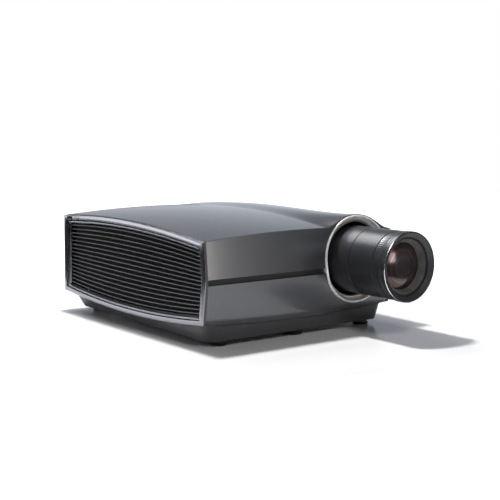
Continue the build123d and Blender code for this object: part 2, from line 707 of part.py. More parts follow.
RJ_CAVITY_WIDTH = 11.8
RJ_CAVITY_HEIGHT = 8.2
RJ_CAVITY_DEPTH = 12.0
RJ_LATCH_WIDTH = 6.0
RJ_LATCH_HEIGHT = 2.2
RJ_LATCH_DROP = RJ_CAVITY_HEIGHT / 2 + 1
with BuildPart() as network_sockets:
    for x, width, height in NETWORK_HOLES:
        with BuildSketch(rear_sketch_plane(socket_sink)):
            with Locations((-x, SOCKET_Z)):
                Rectangle(width, height)
        extrude(amount=-SOCKET_LENGTH)
        with BuildSketch(rear_sketch_plane(socket_sink)):
            with Locations((-x, SOCKET_Z)):
                Rectangle(RJ_CAVITY_WIDTH, RJ_CAVITY_HEIGHT)
            with Locations((-x, SOCKET_Z - RJ_LATCH_DROP)):
                Rectangle(RJ_LATCH_WIDTH, RJ_LATCH_HEIGHT)
        extrude(amount=-RJ_CAVITY_DEPTH, mode=Mode.SUBTRACT)
network_sockets.part.label = "network_sockets"
export_step(network_sockets.part, "parts/network_sockets.step")

INLET_SINK = 0.4
INLET_LENGTH = 22.0
INLET_CAVITY_DEPTH = 16.0
INLET_CAVITY_WIDTH = 24.4
INLET_CAVITY_HEIGHT = 17.0
INLET_CAVITY_CORNER_R = 2.0
PIN_WIDTH = 2.0
PIN_HEIGHT = 4.0
PIN_LENGTH = 9.0
INLET_PINS = [(-7.0, -2.0), (0.0, 2.0), (7.0, -2.0)]
with BuildPart() as power_inlet:
    with BuildSketch(rear_sketch_plane(INLET_SINK)):
        with Locations((-INLET_X, INLET_Z)):
            RectangleRounded(
                INLET_WIDTH - 2 * FIT_GAP,
                INLET_HEIGHT - 2 * FIT_GAP,
                INLET_CORNER_R - FIT_GAP,
            )
    extrude(amount=-INLET_LENGTH)
    with BuildSketch(rear_sketch_plane(INLET_SINK)):
        with Locations((-INLET_X, INLET_Z)):
            RectangleRounded(INLET_CAVITY_WIDTH, INLET_CAVITY_HEIGHT, INLET_CAVITY_CORNER_R)
    extrude(amount=-INLET_CAVITY_DEPTH, mode=Mode.SUBTRACT)
    with BuildSketch(rear_sketch_plane(INLET_SINK + INLET_CAVITY_DEPTH)):
        with Locations(*[(-INLET_X + x, INLET_Z + z) for x, z in INLET_PINS]):
            Rectangle(PIN_WIDTH, PIN_HEIGHT)
    extrude(amount=PIN_LENGTH)
power_inlet.part.label = "power_inlet"
export_step(power_inlet.part, "parts/power_inlet.step")

SWITCH_LENGTH = 24.0
SWITCH_CAVITY_WIDTH = 11.4
SWITCH_CAVITY_HEIGHT = 20.4
ROCKER_R = 9.8
ROCKER_PIVOT_SINK = 4.0
ROCKER_TILT_DEG = 7.0
ROCKER_PIN_R = 1.5
ROCKER_FACE = 2.2
ROCKER_SIDE_GAP = 0.3
ROCKER_PIN_GAP = 0.05
ROCKER_PIN_END_GAP = 0.2
SWITCH_FLOOR = 4.0
SWITCH_SIDE_WALL = 1.0
rocker_pivot_y = BACK_Y - ROCKER_PIVOT_SINK
with BuildPart() as switch_frame:
    with BuildSketch(rear_sketch_plane(INLET_SINK)):
        with Locations((-SWITCH_X, INLET_Z)):
            RectangleRounded(
                SWITCH_WIDTH - 2 * FIT_GAP,
                SWITCH_HEIGHT - 2 * FIT_GAP,
                SWITCH_CORNER_R - FIT_GAP,
            )
    extrude(amount=-SWITCH_LENGTH)
    with BuildSketch(rear_sketch_plane(INLET_SINK)):
        with Locations((-SWITCH_X, INLET_Z)):
            Rectangle(SWITCH_CAVITY_WIDTH, SWITCH_CAVITY_HEIGHT)
    extrude(amount=-SWITCH_LENGTH + SWITCH_FLOOR, mode=Mode.SUBTRACT)
    with BuildSketch(Plane.YZ.offset(SWITCH_X - SWITCH_WIDTH / 2 + SWITCH_SIDE_WALL)):
        with Locations((rocker_pivot_y, INLET_Z)):
            Circle(ROCKER_PIN_R + ROCKER_PIN_GAP)
    extrude(amount=SWITCH_WIDTH - 2 * SWITCH_SIDE_WALL, mode=Mode.SUBTRACT)
switch_frame.part.label = "switch_frame"
export_step(switch_frame.part, "parts/switch_frame.step")

rocker_width = SWITCH_CAVITY_WIDTH - 2 * ROCKER_SIDE_GAP
rocker_pin_half = SWITCH_WIDTH / 2 - SWITCH_SIDE_WALL - ROCKER_PIN_END_GAP
with BuildPart() as power_rocker:
    with BuildSketch(Plane.YZ.offset(SWITCH_X - rocker_width / 2)):
        with Locations((rocker_pivot_y, INLET_Z)):
            Circle(ROCKER_R)
            with Locations(Location((0, 0), -ROCKER_TILT_DEG), Location((0, 0), ROCKER_TILT_DEG)):
                with Locations((ROCKER_FACE + ROCKER_R / 2, 0)):
                    Rectangle(ROCKER_R, 4 * ROCKER_R, mode=Mode.SUBTRACT)
    extrude(amount=rocker_width)
    with BuildSketch(Plane.YZ.offset(SWITCH_X - rocker_pin_half)):
        with Locations((rocker_pivot_y, INLET_Z)):
            Circle(ROCKER_PIN_R)
    extrude(amount=2 * rocker_pin_half)
power_rocker.part.label = "power_rocker"
export_step(power_rocker.part, "parts/power_rocker.step")

# Keypad: four round buttons in a plate
BUTTONS = {"power_button": 113.0, "source_button": 138.0, "menu_button": 162.0, "enter_button": 187.0}
BUTTON_R = 6.0
BUTTON_FLANGE_R = 7.4
BUTTON_PROUD_SINK = 1.2
BUTTON_FLANGE_THICKNESS = 1.2
BUTTON_FLANGE_GAP = 0.3
BUTTON_EDGE_R = 0.7
KEYPAD_PLATE_SINK = 2.6
KEYPAD_PLATE_THICKNESS = 2.0
with BuildPart() as keypad_plate:
    with BuildSketch(rear_sketch_plane(KEYPAD_PLATE_SINK)):
        with Locations((-KEYPAD_X, KEYPAD_Z)):
            RectangleRounded(
                KEYPAD_WIDTH - 2 * FIT_GAP,
                KEYPAD_HEIGHT - 2 * FIT_GAP,
                KEYPAD_CORNER_R - FIT_GAP,
            )
        with Locations(*[(-x, KEYPAD_Z) for x in BUTTONS.values()]):
            Circle(BUTTON_R + FIT_GAP, mode=Mode.SUBTRACT)
    extrude(amount=-KEYPAD_PLATE_THICKNESS)
keypad_plate.part.label = "keypad_plate"
export_step(keypad_plate.part, "parts/keypad_plate.step")

flange_sink = KEYPAD_PLATE_SINK + KEYPAD_PLATE_THICKNESS + BUTTON_FLANGE_GAP
for name, x in BUTTONS.items():
    with BuildPart() as button:
        with BuildSketch(rear_sketch_plane(flange_sink)):
            with Locations((-x, KEYPAD_Z)):
                Circle(BUTTON_FLANGE_R)
        extrude(amount=-BUTTON_FLANGE_THICKNESS)
        with BuildSketch(rear_sketch_plane(flange_sink)):
            with Locations((-x, KEYPAD_Z)):
                Circle(BUTTON_R)
        extrude(amount=flange_sink - BUTTON_PROUD_SINK)
        fillet(button.edges().sort_by(Axis.Y)[-1], BUTTON_EDGE_R)
    button.part.label = name
    export_step(button.part, f"parts/{name}.step")


# ---------------------------------------------------------------- lens opening
RING_BACK_Y = -174.5
RING_PROUD = 3.0
RING_LIP = 3.0
RING_STEP_R = 80.6
LINER_GAP = 0.3
LINER_EDGE = 1.5
with BuildPart() as lens_ring:
    add(
        lens_solid(
            [
                (CUT_FRONT_Y, RING_R),
                (CUT_FRONT_Y, RING_R - RING_LIP),
                (RING_BACK_Y, RING_STEP_R),
                (RING_BACK_Y, RING_R),
            ]
        )
    )
    add(lean_prism(-RING_PROUD), mode=Mode.INTERSECT)
lens_ring.part.label = "lens_ring"
export_step(lens_ring.part, "parts/lens_ring.step")

LINER_FRONT_Y = -179.5
with BuildPart() as lens_ring_liner:
    add(
        lens_solid(
            [
                (LINER_FRONT_Y, RING_STEP_R - LINER_GAP),
                (LINER_FRONT_Y, RING_OPENING_R + LINER_EDGE),
                (LINER_FRONT_Y + LINER_EDGE, RING_OPENING_R),
                (RING_BACK_Y, RING_OPENING_R),
                (RING_BACK_Y, RING_STEP_R - LINER_GAP),
            ]
        )
    )
lens_ring_liner.part.label = "lens_ring_liner"
export_step(lens_ring_liner.part, "parts/lens_ring_liner.step")

TUNNEL_BACK_Y = -116.0
TUNNEL_WALL = 1.4
TUNNEL_GAP = 0.1
with BuildPart() as lens_tunnel:
    add(lens_tube(RING_OPENING_R + TUNNEL_WALL, RING_OPENING_R, RING_BACK_Y + TUNNEL_GAP, TUNNEL_BACK_Y))
lens_tunnel.part.label = "lens_tunnel"
export_step(lens_tunnel.part, "parts/lens_tunnel.step")

# ---------------------------------------------------------------- lens
FLANGE_R = 64.0
FLANGE_FRONT_Y = -110.0
FLANGE_BACK_Y = -103.7
RING_GAP = 0.3
SLEEVE_FRONT_Y = HOOD_BACK_Y - 3.0
BARREL_NECK_R = BARREL_R - 8
REAR_BORE_R = REAR_TUBE_R - 7
EDGE = 0.5
with BuildPart() as lens_barrel:
    add(
        lens_solid(
            [
                (SLEEVE_FRONT_Y, BORE_R),
                (SLEEVE_FRONT_Y, SLEEVE_R),
                (ZOOM_BACK_Y, SLEEVE_R),
                (ZOOM_BACK_Y, BARREL_R - EDGE),
                (ZOOM_BACK_Y + EDGE, BARREL_R),
                (BARREL_BACK_Y, BARREL_R),
                (BARREL_BACK_Y, BARREL_NECK_R),
                (FLANGE_FRONT_Y, BARREL_NECK_R),
                (FLANGE_FRONT_Y, FLANGE_R),
                (FLANGE_BACK_Y, FLANGE_R),
                (FLANGE_BACK_Y, REAR_TUBE_R),
                (REAR_TUBE_BACK_Y, REAR_TUBE_R),
                (REAR_TUBE_BACK_Y, REAR_BORE_R),
                (FLANGE_FRONT_Y - 2, REAR_BORE_R),
                (FLANGE_FRONT_Y - 8, BORE_R),
            ]
        )
    )
lens_barrel.part.label = "lens_barrel"
export_step(lens_barrel.part, "parts/lens_barrel.step")


def grip_ring(front_y, back_y):
    """A ring that turns on the lens sleeve, with broken outer edges."""
    return lens_solid(
        [
            (front_y, RING_BORE_R),
            (front_y, BARREL_R - EDGE),
            (front_y + EDGE, BARREL_R),
            (back_y - EDGE, BARREL_R),
            (back_y, BARREL_R - EDGE),
            (back_y, RING_BORE_R),
        ]
    )


GRUB_COUNT = 3
GRUB_R = 1.6
GRUB_DEPTH = 3.0
GRUB_START_DEG = 100
GRUB_BACK_GAP = 8.0
with BuildPart() as zoom_ring:
    add(grip_ring(FOCUS_BACK_Y + RING_GAP, ZOOM_BACK_Y - RING_GAP))
    with Locations(LENS_PLANE.offset(-(ZOOM_BACK_Y - GRUB_BACK_GAP))):
        with PolarLocations(BARREL_R, GRUB_COUNT, start_angle=GRUB_START_DEG):
            Cylinder(GRUB_R, GRUB_DEPTH, rotation=(0, 90, 0), mode=Mode.SUBTRACT)
zoom_ring.part.label = "zoom_ring"
export_step(zoom_ring.part, "parts/zoom_ring.step")

KNURL_COUNT = 90
KNURL_DEPTH = 0.7
KNURL_WIDTH = 1.6
KNURL_LENGTH = 18.0
KNURL_BACK_GAP = 3.0
KNURL_OUTSIDE = 0.4
with BuildPart() as focus_ring:
    add(grip_ring(HOOD_BACK_Y + RING_GAP, FOCUS_BACK_Y))
    with BuildSketch(LENS_PLANE.offset(-(FOCUS_BACK_Y - KNURL_BACK_GAP))):
        with PolarLocations(BARREL_R + KNURL_OUTSIDE, KNURL_COUNT):
            Rectangle(2 * (KNURL_DEPTH + KNURL_OUTSIDE), KNURL_WIDTH)
    extrude(amount=KNURL_LENGTH, mode=Mode.SUBTRACT)
focus_ring.part.label = "focus_ring"
export_step(focus_ring.part, "parts/focus_ring.step")

HOOD_EDGE = 0.8
HOOD_RIM = 4.5
HOOD_LEDGE_Y = HOOD_BACK_Y - 3.2
HOOD_BORE_R = BORE_R + 2
with BuildPart() as lens_hood:
    add(
        lens_solid(
            [
                (RIM_Y, HOOD_R - HOOD_RIM),
                (RIM_Y, HOOD_R - HOOD_EDGE),
                (RIM_Y + HOOD_EDGE, HOOD_R),
                (HOOD_BACK_Y, HOOD_R),
                (HOOD_BACK_Y, RING_BORE_R + RING_GAP),
                (HOOD_LEDGE_Y, RING_BORE_R + RING_GAP),
                (HOOD_LEDGE_Y, HOOD_BORE_R),
                (HOOD_BACK_Y - 5, HOOD_BORE_R),
            ]
        )
    )
lens_hood.part.label = "lens_hood"
export_step(lens_hood.part, "parts/lens_hood.step")

RETAINER_BACK_Y = -312.0
RETAINER_FRONT_Y = HOOD_BACK_Y - 2.5
BAFFLE_RADII = (46.5, 49.0, 52.0)
GLASS_R = BORE_R - 0.2
with BuildPart() as front_retainer:
    add(
        lens_solid(
            [
                (RETAINER_FRONT_Y, GLASS_R),
                (RETAINER_BACK_Y, GLASS_R),
                (RETAINER_BACK_Y, BAFFLE_RADII[0]),
                (RETAINER_BACK_Y - 3, BAFFLE_RADII[0]),
                (RETAINER_BACK_Y - 5, BAFFLE_RADII[1]),
                (RETAINER_BACK_Y - 9, BAFFLE_RADII[1]),
                (RETAINER_BACK_Y - 11, BAFFLE_RADII[2]),
                (RETAINER_FRONT_Y, BAFFLE_RADII[2]),
            ]
        )
    )
front_retainer.part.label = "front_retainer"
export_step(front_retainer.part, "parts/front_retainer.step")


def lens_element(front_y, back_y, radius, front_sphere_r):
    """A thick round glass with a convex front."""
    sag_edge = front_sphere_r - math.sqrt(front_sphere_r**2 - radius**2)
    sag_half = front_sphere_r - math.sqrt(front_sphere_r**2 - (radius / 2) ** 2)
    with BuildPart() as element:
        with BuildSketch(Plane(origin=(LENS_X, 0, LENS_Z), x_dir=(0, 1, 0), z_dir=(1, 0, 0))):
            with BuildLine():
                ThreePointArc(
                    (front_y, 0),
                    (front_y + sag_half, radius / 2),
                    (front_y + sag_edge, radius),
                )
                Polyline(
                    (front_y + sag_edge, radius),
                    (back_y, radius),
                    (back_y, 0),
                    (front_y, 0),
                )
            make_face()
        revolve(axis=LENS_AXIS)
    return element.part


FRONT_SPHERE_R = 150.0
FRONT_GLASS_EDGE_Y = RETAINER_BACK_Y + 3.0
FRONT_GLASS_BACK_Y = -296.0
front_sag = FRONT_SPHERE_R - math.sqrt(FRONT_SPHERE_R**2 - GLASS_R**2)
with BuildPart() as front_glass:
    add(lens_element(FRONT_GLASS_EDGE_Y - front_sag, FRONT_GLASS_BACK_Y, GLASS_R, FRONT_SPHERE_R))
front_glass.part.label = "front_glass"
export_step(front_glass.part, "parts/front_glass.step")

REAR_GLASS_FRONT_Y = -98.0
REAR_GLASS_BACK_Y = -82.0
REAR_GLASS_R = REAR_BORE_R - 0.3
REAR_SPHERE_R = 90.0
with BuildPart() as rear_glass:
    add(lens_element(REAR_GLASS_FRONT_Y, REAR_GLASS_BACK_Y, REAR_GLASS_R, REAR_SPHERE_R))
rear_glass.part.label = "rear_glass"
export_step(rear_glass.part, "parts/rear_glass.step")

# ---------------------------------------------------------------- lens shift stage
STAGE_Y = -86.0
STAGE_THICKNESS = 6.0
STAGE_HALF_WIDTH = 75.0
STAGE_FOOT_HALF_WIDTH = 66.0
STAGE_FOOT_Z = 50.0
STAGE_TOP_Z = 204.0
WINDOW_HALF = 52.0
RAIL = 4.2
CARRIAGE_THICKNESS = 5.4
VERTICAL_HALF_WIDTH = 70.0
VERTICAL_HALF_HEIGHT = 57.5
SHIFT_HALF_WIDTH = 57.0
SHIFT_HALF_HEIGHT = 50.0
RAIL_GAP = 0.3
SLOT_MARGIN = 1.0
TUBE_GAP = 0.2
stage_front = STAGE_Y - STAGE_THICKNESS
vertical_back = stage_front - RAIL_GAP
vertical_front = vertical_back - CARRIAGE_THICKNESS
shift_back = vertical_front - RAIL_GAP


def y_slab(back_y, front_y):
    """Height and plane for a sketch extruded along the lens axis."""
    return LENS_PLANE.offset(-back_y), back_y - front_y


with BuildPart() as shift_base_plate:
    plane, depth = y_slab(STAGE_Y, stage_front)
    with BuildSketch(plane):
        with Locations((0, (STAGE_TOP_Z + STAGE_FOOT_Z) / 2 - LENS_Z)):
            Rectangle(2 * STAGE_HALF_WIDTH, STAGE_TOP_Z - STAGE_FOOT_Z)
        with Locations((0, (STAGE_FOOT_Z + TRAY_FLOOR_TOP) / 2 - LENS_Z)):
            Rectangle(2 * STAGE_FOOT_HALF_WIDTH, STAGE_FOOT_Z - TRAY_FLOOR_TOP)
        Rectangle(2 * WINDOW_HALF, 2 * WINDOW_HALF, mode=Mode.SUBTRACT)
    extrude(amount=depth)
    plane, depth = y_slab(stage_front, vertical_front)
    with BuildSketch(plane):
        with GridLocations(2 * (VERTICAL_HALF_WIDTH + RAIL_GAP + RAIL / 2), 0, 2, 1):
            Rectangle(RAIL, 2 * SHIFT_HALF_HEIGHT)
    extrude(amount=depth)
shift_base_plate.part.label = "shift_base_plate"
export_step(shift_base_plate.part, "parts/shift_base_plate.step")

with BuildPart() as shift_vertical_carriage:
    plane, depth = y_slab(vertical_back, vertical_front)
    with BuildSketch(plane):
        Rectangle(2 * VERTICAL_HALF_WIDTH, 2 * VERTICAL_HALF_HEIGHT)
        Rectangle(2 * (WINDOW_HALF - SLOT_MARGIN), 2 * (REAR_TUBE_R + SLOT_MARGIN), mode=Mode.SUBTRACT)
    extrude(amount=depth)
    plane, depth = y_slab(vertical_front, vertical_front - CARRIAGE_THICKNESS)
    with BuildSketch(plane):
        with GridLocations(0, 2 * (SHIFT_HALF_HEIGHT + RAIL_GAP + RAIL / 2), 1, 2):
            Rectangle(2 * SHIFT_HALF_WIDTH, RAIL)
    extrude(amount=depth)
shift_vertical_carriage.part.label = "shift_vertical_carriage"
export_step(shift_vertical_carriage.part, "parts/shift_vertical_carriage.step")

with BuildPart() as shift_horizontal_carriage:
    plane, depth = y_slab(shift_back, FLANGE_BACK_Y)
    with BuildSketch(plane):
        Rectangle(2 * SHIFT_HALF_WIDTH, 2 * SHIFT_HALF_HEIGHT)
        Circle(REAR_TUBE_R + TUBE_GAP, mode=Mode.SUBTRACT)
    extrude(amount=depth)
shift_horizontal_carriage.part.label = "shift_horizontal_carriage"
export_step(shift_horizontal_carriage.part, "parts/shift_horizontal_carriage.step")


# ---------------------------------------------------------------- light engine
def legs(places, size, top_z):
    """Square legs from the tray floor up to top_z."""
    with BuildPart() as posts:
        with BuildSketch(Plane.XY.offset(TRAY_FLOOR_TOP)):
            with Locations(*places):
                Rectangle(size, size)
        extrude(amount=top_z - TRAY_FLOOR_TOP)
    return posts.part


def leg_places(x0, x1, y0, y1):
    """Four places for legs, one leg width inside the corners of a box."""
    return [(x, y) for x in (x0 + LEG, x1 - LEG) for y in (y0 + LEG, y1 - LEG)]


ENGINE_X0, ENGINE_X1 = 88.0, 198.0
ENGINE_Y0, ENGINE_Y1 = -70.0, 90.0
ENGINE_Z0, ENGINE_Z1 = 66.0, 197.0
ENGINE_WALL = 4.0
ENGINE_PORT_R = 40.0
LEG = 12.0
engine_middle = ((ENGINE_X0 + ENGINE_X1) / 2, (ENGINE_Y0 + ENGINE_Y1) / 2, (ENGINE_Z0 + ENGINE_Z1) / 2)
engine_size = (ENGINE_X1 - ENGINE_X0, ENGINE_Y1 - ENGINE_Y0, ENGINE_Z1 - ENGINE_Z0)
ROD_Y = -20.0
with BuildPart() as engine_housing:
    with Locations(engine_middle):
        Box(*engine_size)
    offset(amount=-ENGINE_WALL, openings=engine_housing.faces().sort_by(Axis.Z)[-1])
    add(lens_tube(ENGINE_PORT_R, 0, ENGINE_Y0 - 1, ENGINE_Y0 + ENGINE_WALL + 1), mode=Mode.SUBTRACT)
    with Locations((ENGINE_X0, ROD_Y, LENS_Z)):
        Box(3 * ENGINE_WALL, LEG, LEG, mode=Mode.SUBTRACT)
    add(legs(leg_places(ENGINE_X0, ENGINE_X1, ENGINE_Y0, ENGINE_Y1), LEG, ENGINE_Z0))
engine_housing.part.label = "engine_housing"
export_step(engine_housing.part, "parts/engine_housing.step")

PRISM = 40.0
prism_bottom = LENS_Z - PRISM / 2
engine_floor = ENGINE_Z0 + ENGINE_WALL
with BuildPart() as prism_block:
    with Locations((LENS_X, ROD_Y, LENS_Z)):
        Box(PRISM, PRISM, PRISM)
    with Locations((LENS_X, ROD_Y, (prism_bottom + engine_floor) / 2)):
        Box(PRISM / 2, PRISM / 2, prism_bottom - engine_floor)
prism_block.part.label = "prism_block"
export_step(prism_block.part, "parts/prism_block.step")

IMAGER_Y = 6.0
IMAGER_SIZE = (36.0, 10.0, 28.0)
IMAGER_BOARD_Y = 12.0
IMAGER_BOARD_WIDTH = 80.0
IMAGER_BOARD_THICKNESS = 2.0
IMAGER_BOARD_TOP_Z = 186.5
with BuildPart() as imager_board:
    with Locations((LENS_X, IMAGER_BOARD_Y, (IMAGER_BOARD_TOP_Z + engine_floor) / 2)):
        Box(IMAGER_BOARD_WIDTH, IMAGER_BOARD_THICKNESS, IMAGER_BOARD_TOP_Z - engine_floor)
    with Locations((LENS_X, IMAGER_Y, LENS_Z)):
        Box(*IMAGER_SIZE)
imager_board.part.label = "imager_board"
export_step(imager_board.part, "parts/imager_board.step")

LASER_X0, LASER_X1 = -60.0, 48.0
LASER_Y0, LASER_Y1 = -70.0, 10.0
LASER_Z0, LASER_Z1 = 100.0, 180.0
LASER_EDGE = 3.0
with BuildPart() as laser_module:
    with Locations(((LASER_X0 + LASER_X1) / 2, (LASER_Y0 + LASER_Y1) / 2, (LASER_Z0 + LASER_Z1) / 2)):
        Box(LASER_X1 - LASER_X0, LASER_Y1 - LASER_Y0, LASER_Z1 - LASER_Z0)
    chamfer(laser_module.edges().filter_by(Axis.Z), LASER_EDGE)
    add(legs(leg_places(LASER_X0, LASER_X1, LASER_Y0, LASER_Y1), LEG, LASER_Z0))
laser_module.part.label = "laser_module"
export_step(laser_module.part, "parts/laser_module.step")

ROD_SIZE = 6.0
with BuildPart() as integrator_rod:
    with Locations(((LASER_X1 + LENS_X - PRISM / 2) / 2, ROD_Y, LENS_Z)):
        Box(LENS_X - PRISM / 2 - LASER_X1, ROD_SIZE, ROD_SIZE)
integrator_rod.part.label = "integrator_rod"
export_step(integrator_rod.part, "parts/integrator_rod.step")

FIN_COUNT = 14
FIN_THICKNESS = 2.0
SINK_BASE = 8.0
SINK_LENGTH = 90.0
sink_middle_y = (LASER_Y0 + LASER_Y1) / 2
with BuildPart() as heatsink:
    with Locations((LASER_X0 - SINK_BASE / 2, sink_middle_y, (LASER_Z0 + LASER_Z1) / 2)):
        Box(SINK_BASE, LASER_Y1 - LASER_Y0, LASER_Z1 - LASER_Z0)
    with Locations((LASER_X0 - SINK_BASE - SINK_LENGTH / 2, sink_middle_y, (LASER_Z0 + LASER_Z1) / 2)):
        with GridLocations(0, (LASER_Y1 - LASER_Y0 - FIN_THICKNESS) / (FIN_COUNT - 1), 1, FIN_COUNT):
            Box(SINK_LENGTH, FIN_THICKNESS, LASER_Z1 - LASER_Z0)
heatsink.part.label = "heatsink"
export_step(heatsink.part, "parts/heatsink.step")

WHEEL_X = 10.0
WHEEL_Z = 120.0
DISC_R = 34.0
DISC_Y = 24.0
MOTOR_R = 13.0
SHAFT_R = 2.0
SHAFT_GAP = 0.05
SHAFT_LENGTH = 20.0
DISC_THICKNESS = 1.6
DISC_HUB_R = 12.0
DISC_HUB_LENGTH = 4.0
wheel_plane = Plane(origin=(WHEEL_X, DISC_Y, WHEEL_Z), x_dir=(1, 0, 0), z_dir=(0, 1, 0))
with BuildPart() as phosphor_wheel:
    with BuildSketch(wheel_plane):
        Circle(DISC_R)
    extrude(amount=DISC_THICKNESS)
    with BuildSketch(wheel_plane):
        Circle(DISC_HUB_R)
    extrude(amount=DISC_HUB_LENGTH)
    with BuildSketch(wheel_plane):
        Circle(SHAFT_R)
    extrude(amount=SHAFT_LENGTH)
phosphor_wheel.part.label = "phosphor_wheel"
export_step(phosphor_wheel.part, "parts/phosphor_wheel.step")

MOTOR_BRACKET = 30.0
MOTOR_BRACKET_DEPTH = 6.0
MOTOR_BRACKET_Y = DISC_Y + 22
MOTOR_SINK = 5.0
MOTOR_LENGTH = 20.0
motor_bottom = WHEEL_Z - MOTOR_R + 2
with BuildPart() as wheel_motor:
    with BuildSketch(wheel_plane.offset(MOTOR_SINK)):
        Circle(MOTOR_R)
        Circle(SHAFT_R + SHAFT_GAP, mode=Mode.SUBTRACT)
    extrude(amount=MOTOR_LENGTH)
    with Locations((WHEEL_X, MOTOR_BRACKET_Y, (motor_bottom + TRAY_FLOOR_TOP) / 2)):
        Box(MOTOR_BRACKET, MOTOR_BRACKET_DEPTH, motor_bottom - TRAY_FLOOR_TOP)
wheel_motor.part.label = "wheel_motor"
export_step(wheel_motor.part, "parts/wheel_motor.step")

# ---------------------------------------------------------------- fans, supply and board
FAN_SIZE = 120.0
FAN_DEPTH = 25.0
FAN_Z = 112.0
FAN_HUB_R = 20.0
FAN_BORE_R = 57.0
BLADE_R = 54.0
BLADE_COUNT = 7
FAN_SHAFT_R = 3.0
FAN_CORNER_R = 6.0
FAN_HOLE_SPACING = 105.0
FAN_HOLE_R = 2.2
SPOKE_WIDTH = 5.0
SPOKE_DEPTH = 4.0
FAN_LEG_REACH = 50.0
FAN_LEG_OVERLAP = 1.0
ROTOR_SINK = 5.0
ROTOR_LENGTH = 17.0
SHAFT_SINK = 0.5
FAN_SHAFT_LENGTH = 6.0
BLADE_SINK = 6.0
BLADE_CHORD = 22.0
BLADE_THICKNESS = 2.0
BLADE_ROOT_OVERLAP = 4.0
blade_length = BLADE_R - FAN_HUB_R + BLADE_ROOT_OVERLAP
blade_middle = BLADE_R - blade_length / 2 + 1
FANS = {"left": (-215.0, -30.0), "right": (186.0, 200.0)}
for side, (x, y) in FANS.items():
    fan_plane = Plane(origin=(x, y, FAN_Z), x_dir=(0, 1, 0), z_dir=(1, 0, 0))
    with BuildPart() as fan_frame:
        with BuildSketch(fan_plane):
            RectangleRounded(FAN_SIZE, FAN_SIZE, FAN_CORNER_R)
            Circle(FAN_BORE_R, mode=Mode.SUBTRACT)
            with GridLocations(FAN_HOLE_SPACING, FAN_HOLE_SPACING, 2, 2):
                Circle(FAN_HOLE_R, mode=Mode.SUBTRACT)
        extrude(amount=FAN_DEPTH)
        with BuildSketch(fan_plane):
            Circle(FAN_HUB_R)
            with PolarLocations(0, 4, start_angle=45):
                with Locations((FAN_BORE_R / 2 + 1, 0)):
                    Rectangle(FAN_BORE_R + 2, SPOKE_WIDTH)
            Circle(FAN_SHAFT_R + SHAFT_GAP, mode=Mode.SUBTRACT)
        extrude(amount=SPOKE_DEPTH)
        fan_legs = [(x + FAN_DEPTH / 2, y - FAN_LEG_REACH), (x + FAN_DEPTH / 2, y + FAN_LEG_REACH)]
        add(legs(fan_legs, LEG, FAN_Z - FAN_SIZE / 2 + FAN_LEG_OVERLAP))
    fan_frame.part.label = f"fan_frame_{side}"
    export_step(fan_frame.part, f"parts/fan_frame_{side}.step")

    with BuildPart() as fan_rotor:
        with BuildSketch(fan_plane.offset(ROTOR_SINK)):
            Circle(FAN_HUB_R)
        extrude(amount=ROTOR_LENGTH)
        with BuildSketch(fan_plane.offset(SHAFT_SINK)):
            Circle(FAN_SHAFT_R)
        extrude(amount=FAN_SHAFT_LENGTH)
        with BuildSketch(fan_plane.offset(BLADE_SINK)):
            with PolarLocations(0, BLADE_COUNT):
                with Locations((blade_middle, 0)):
                    Rectangle(blade_length, BLADE_CHORD)
            Circle(BLADE_R, mode=Mode.INTERSECT)
        extrude(amount=BLADE_THICKNESS)
    fan_rotor.part.label = f"fan_rotor_{side}"
    export_step(fan_rotor.part, f"parts/fan_rotor_{side}.step")

SUPPLY_X, SUPPLY_Y = -100.0, 200.0
SUPPLY_SIZE = (150.0, 180.0, 54.0)
SUPPLY_Z = 28.0
SUPPLY_LEGS = [(SUPPLY_X + dx, SUPPLY_Y + dy) for dx in (-60.0, 60.0) for dy in (-70.0, 70.0)]
SUPPLY_SLOT = (12.0, 4.0)
SUPPLY_SLOT_DEPTH = 3.0
SUPPLY_SLOT_PITCH = (18.0, 14.0)
SUPPLY_SLOT_COUNT = (6, 8)
with BuildPart() as power_supply:
    with Locations((SUPPLY_X, SUPPLY_Y, SUPPLY_Z + SUPPLY_SIZE[2] / 2)):
        Box(*SUPPLY_SIZE)
    add(legs(SUPPLY_LEGS, LEG, SUPPLY_Z))
    with BuildSketch(Plane.XY.offset(SUPPLY_Z + SUPPLY_SIZE[2])):
        with Locations((SUPPLY_X, SUPPLY_Y)):
            with GridLocations(*SUPPLY_SLOT_PITCH, *SUPPLY_SLOT_COUNT):
                SlotOverall(*SUPPLY_SLOT)
    extrude(amount=-SUPPLY_SLOT_DEPTH, mode=Mode.SUBTRACT)
power_supply.part.label = "power_supply"
export_step(power_supply.part, "parts/power_supply.step")

BOARD_Z = 85.0
BOARD_X0, BOARD_X1 = -180.0, 150.0
BOARD_Y0, BOARD_Y1 = 96.0, 312.0
BOARD_THICKNESS = 1.6
POST = 6.0
POST_PLACES = [
    (BOARD_X0 + 2, BOARD_Y1 - POST),
    (BOARD_X1 - POST, BOARD_Y1 - POST),
    (BOARD_X1 - POST, BOARD_Y0 + POST),
    (BOARD_X0 + 2, BOARD_Y0 + POST),
]
CHIPS = [
    (-100.0, 180.0, 45.0, 12.0),
    (-20.0, 170.0, 35.0, 4.0),
    (60.0, 200.0, 40.0, 14.0),
    (60.0, 130.0, 24.0, 3.0),
]
board_middle = ((BOARD_X0 + BOARD_X1) / 2, (BOARD_Y0 + BOARD_Y1) / 2, BOARD_Z + BOARD_THICKNESS / 2)
with BuildPart() as main_board:
    with Locations(board_middle):
        Box(BOARD_X1 - BOARD_X0, BOARD_Y1 - BOARD_Y0, BOARD_THICKNESS)
    for x, y, size, height in CHIPS:
        with Locations((x, y, BOARD_Z + BOARD_THICKNESS + height / 2)):
            Box(size, size, height)
    add(legs(POST_PLACES, POST, BOARD_Z))
main_board.part.label = "main_board"
export_step(main_board.part, "parts/main_board.step")
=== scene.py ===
import json
import math

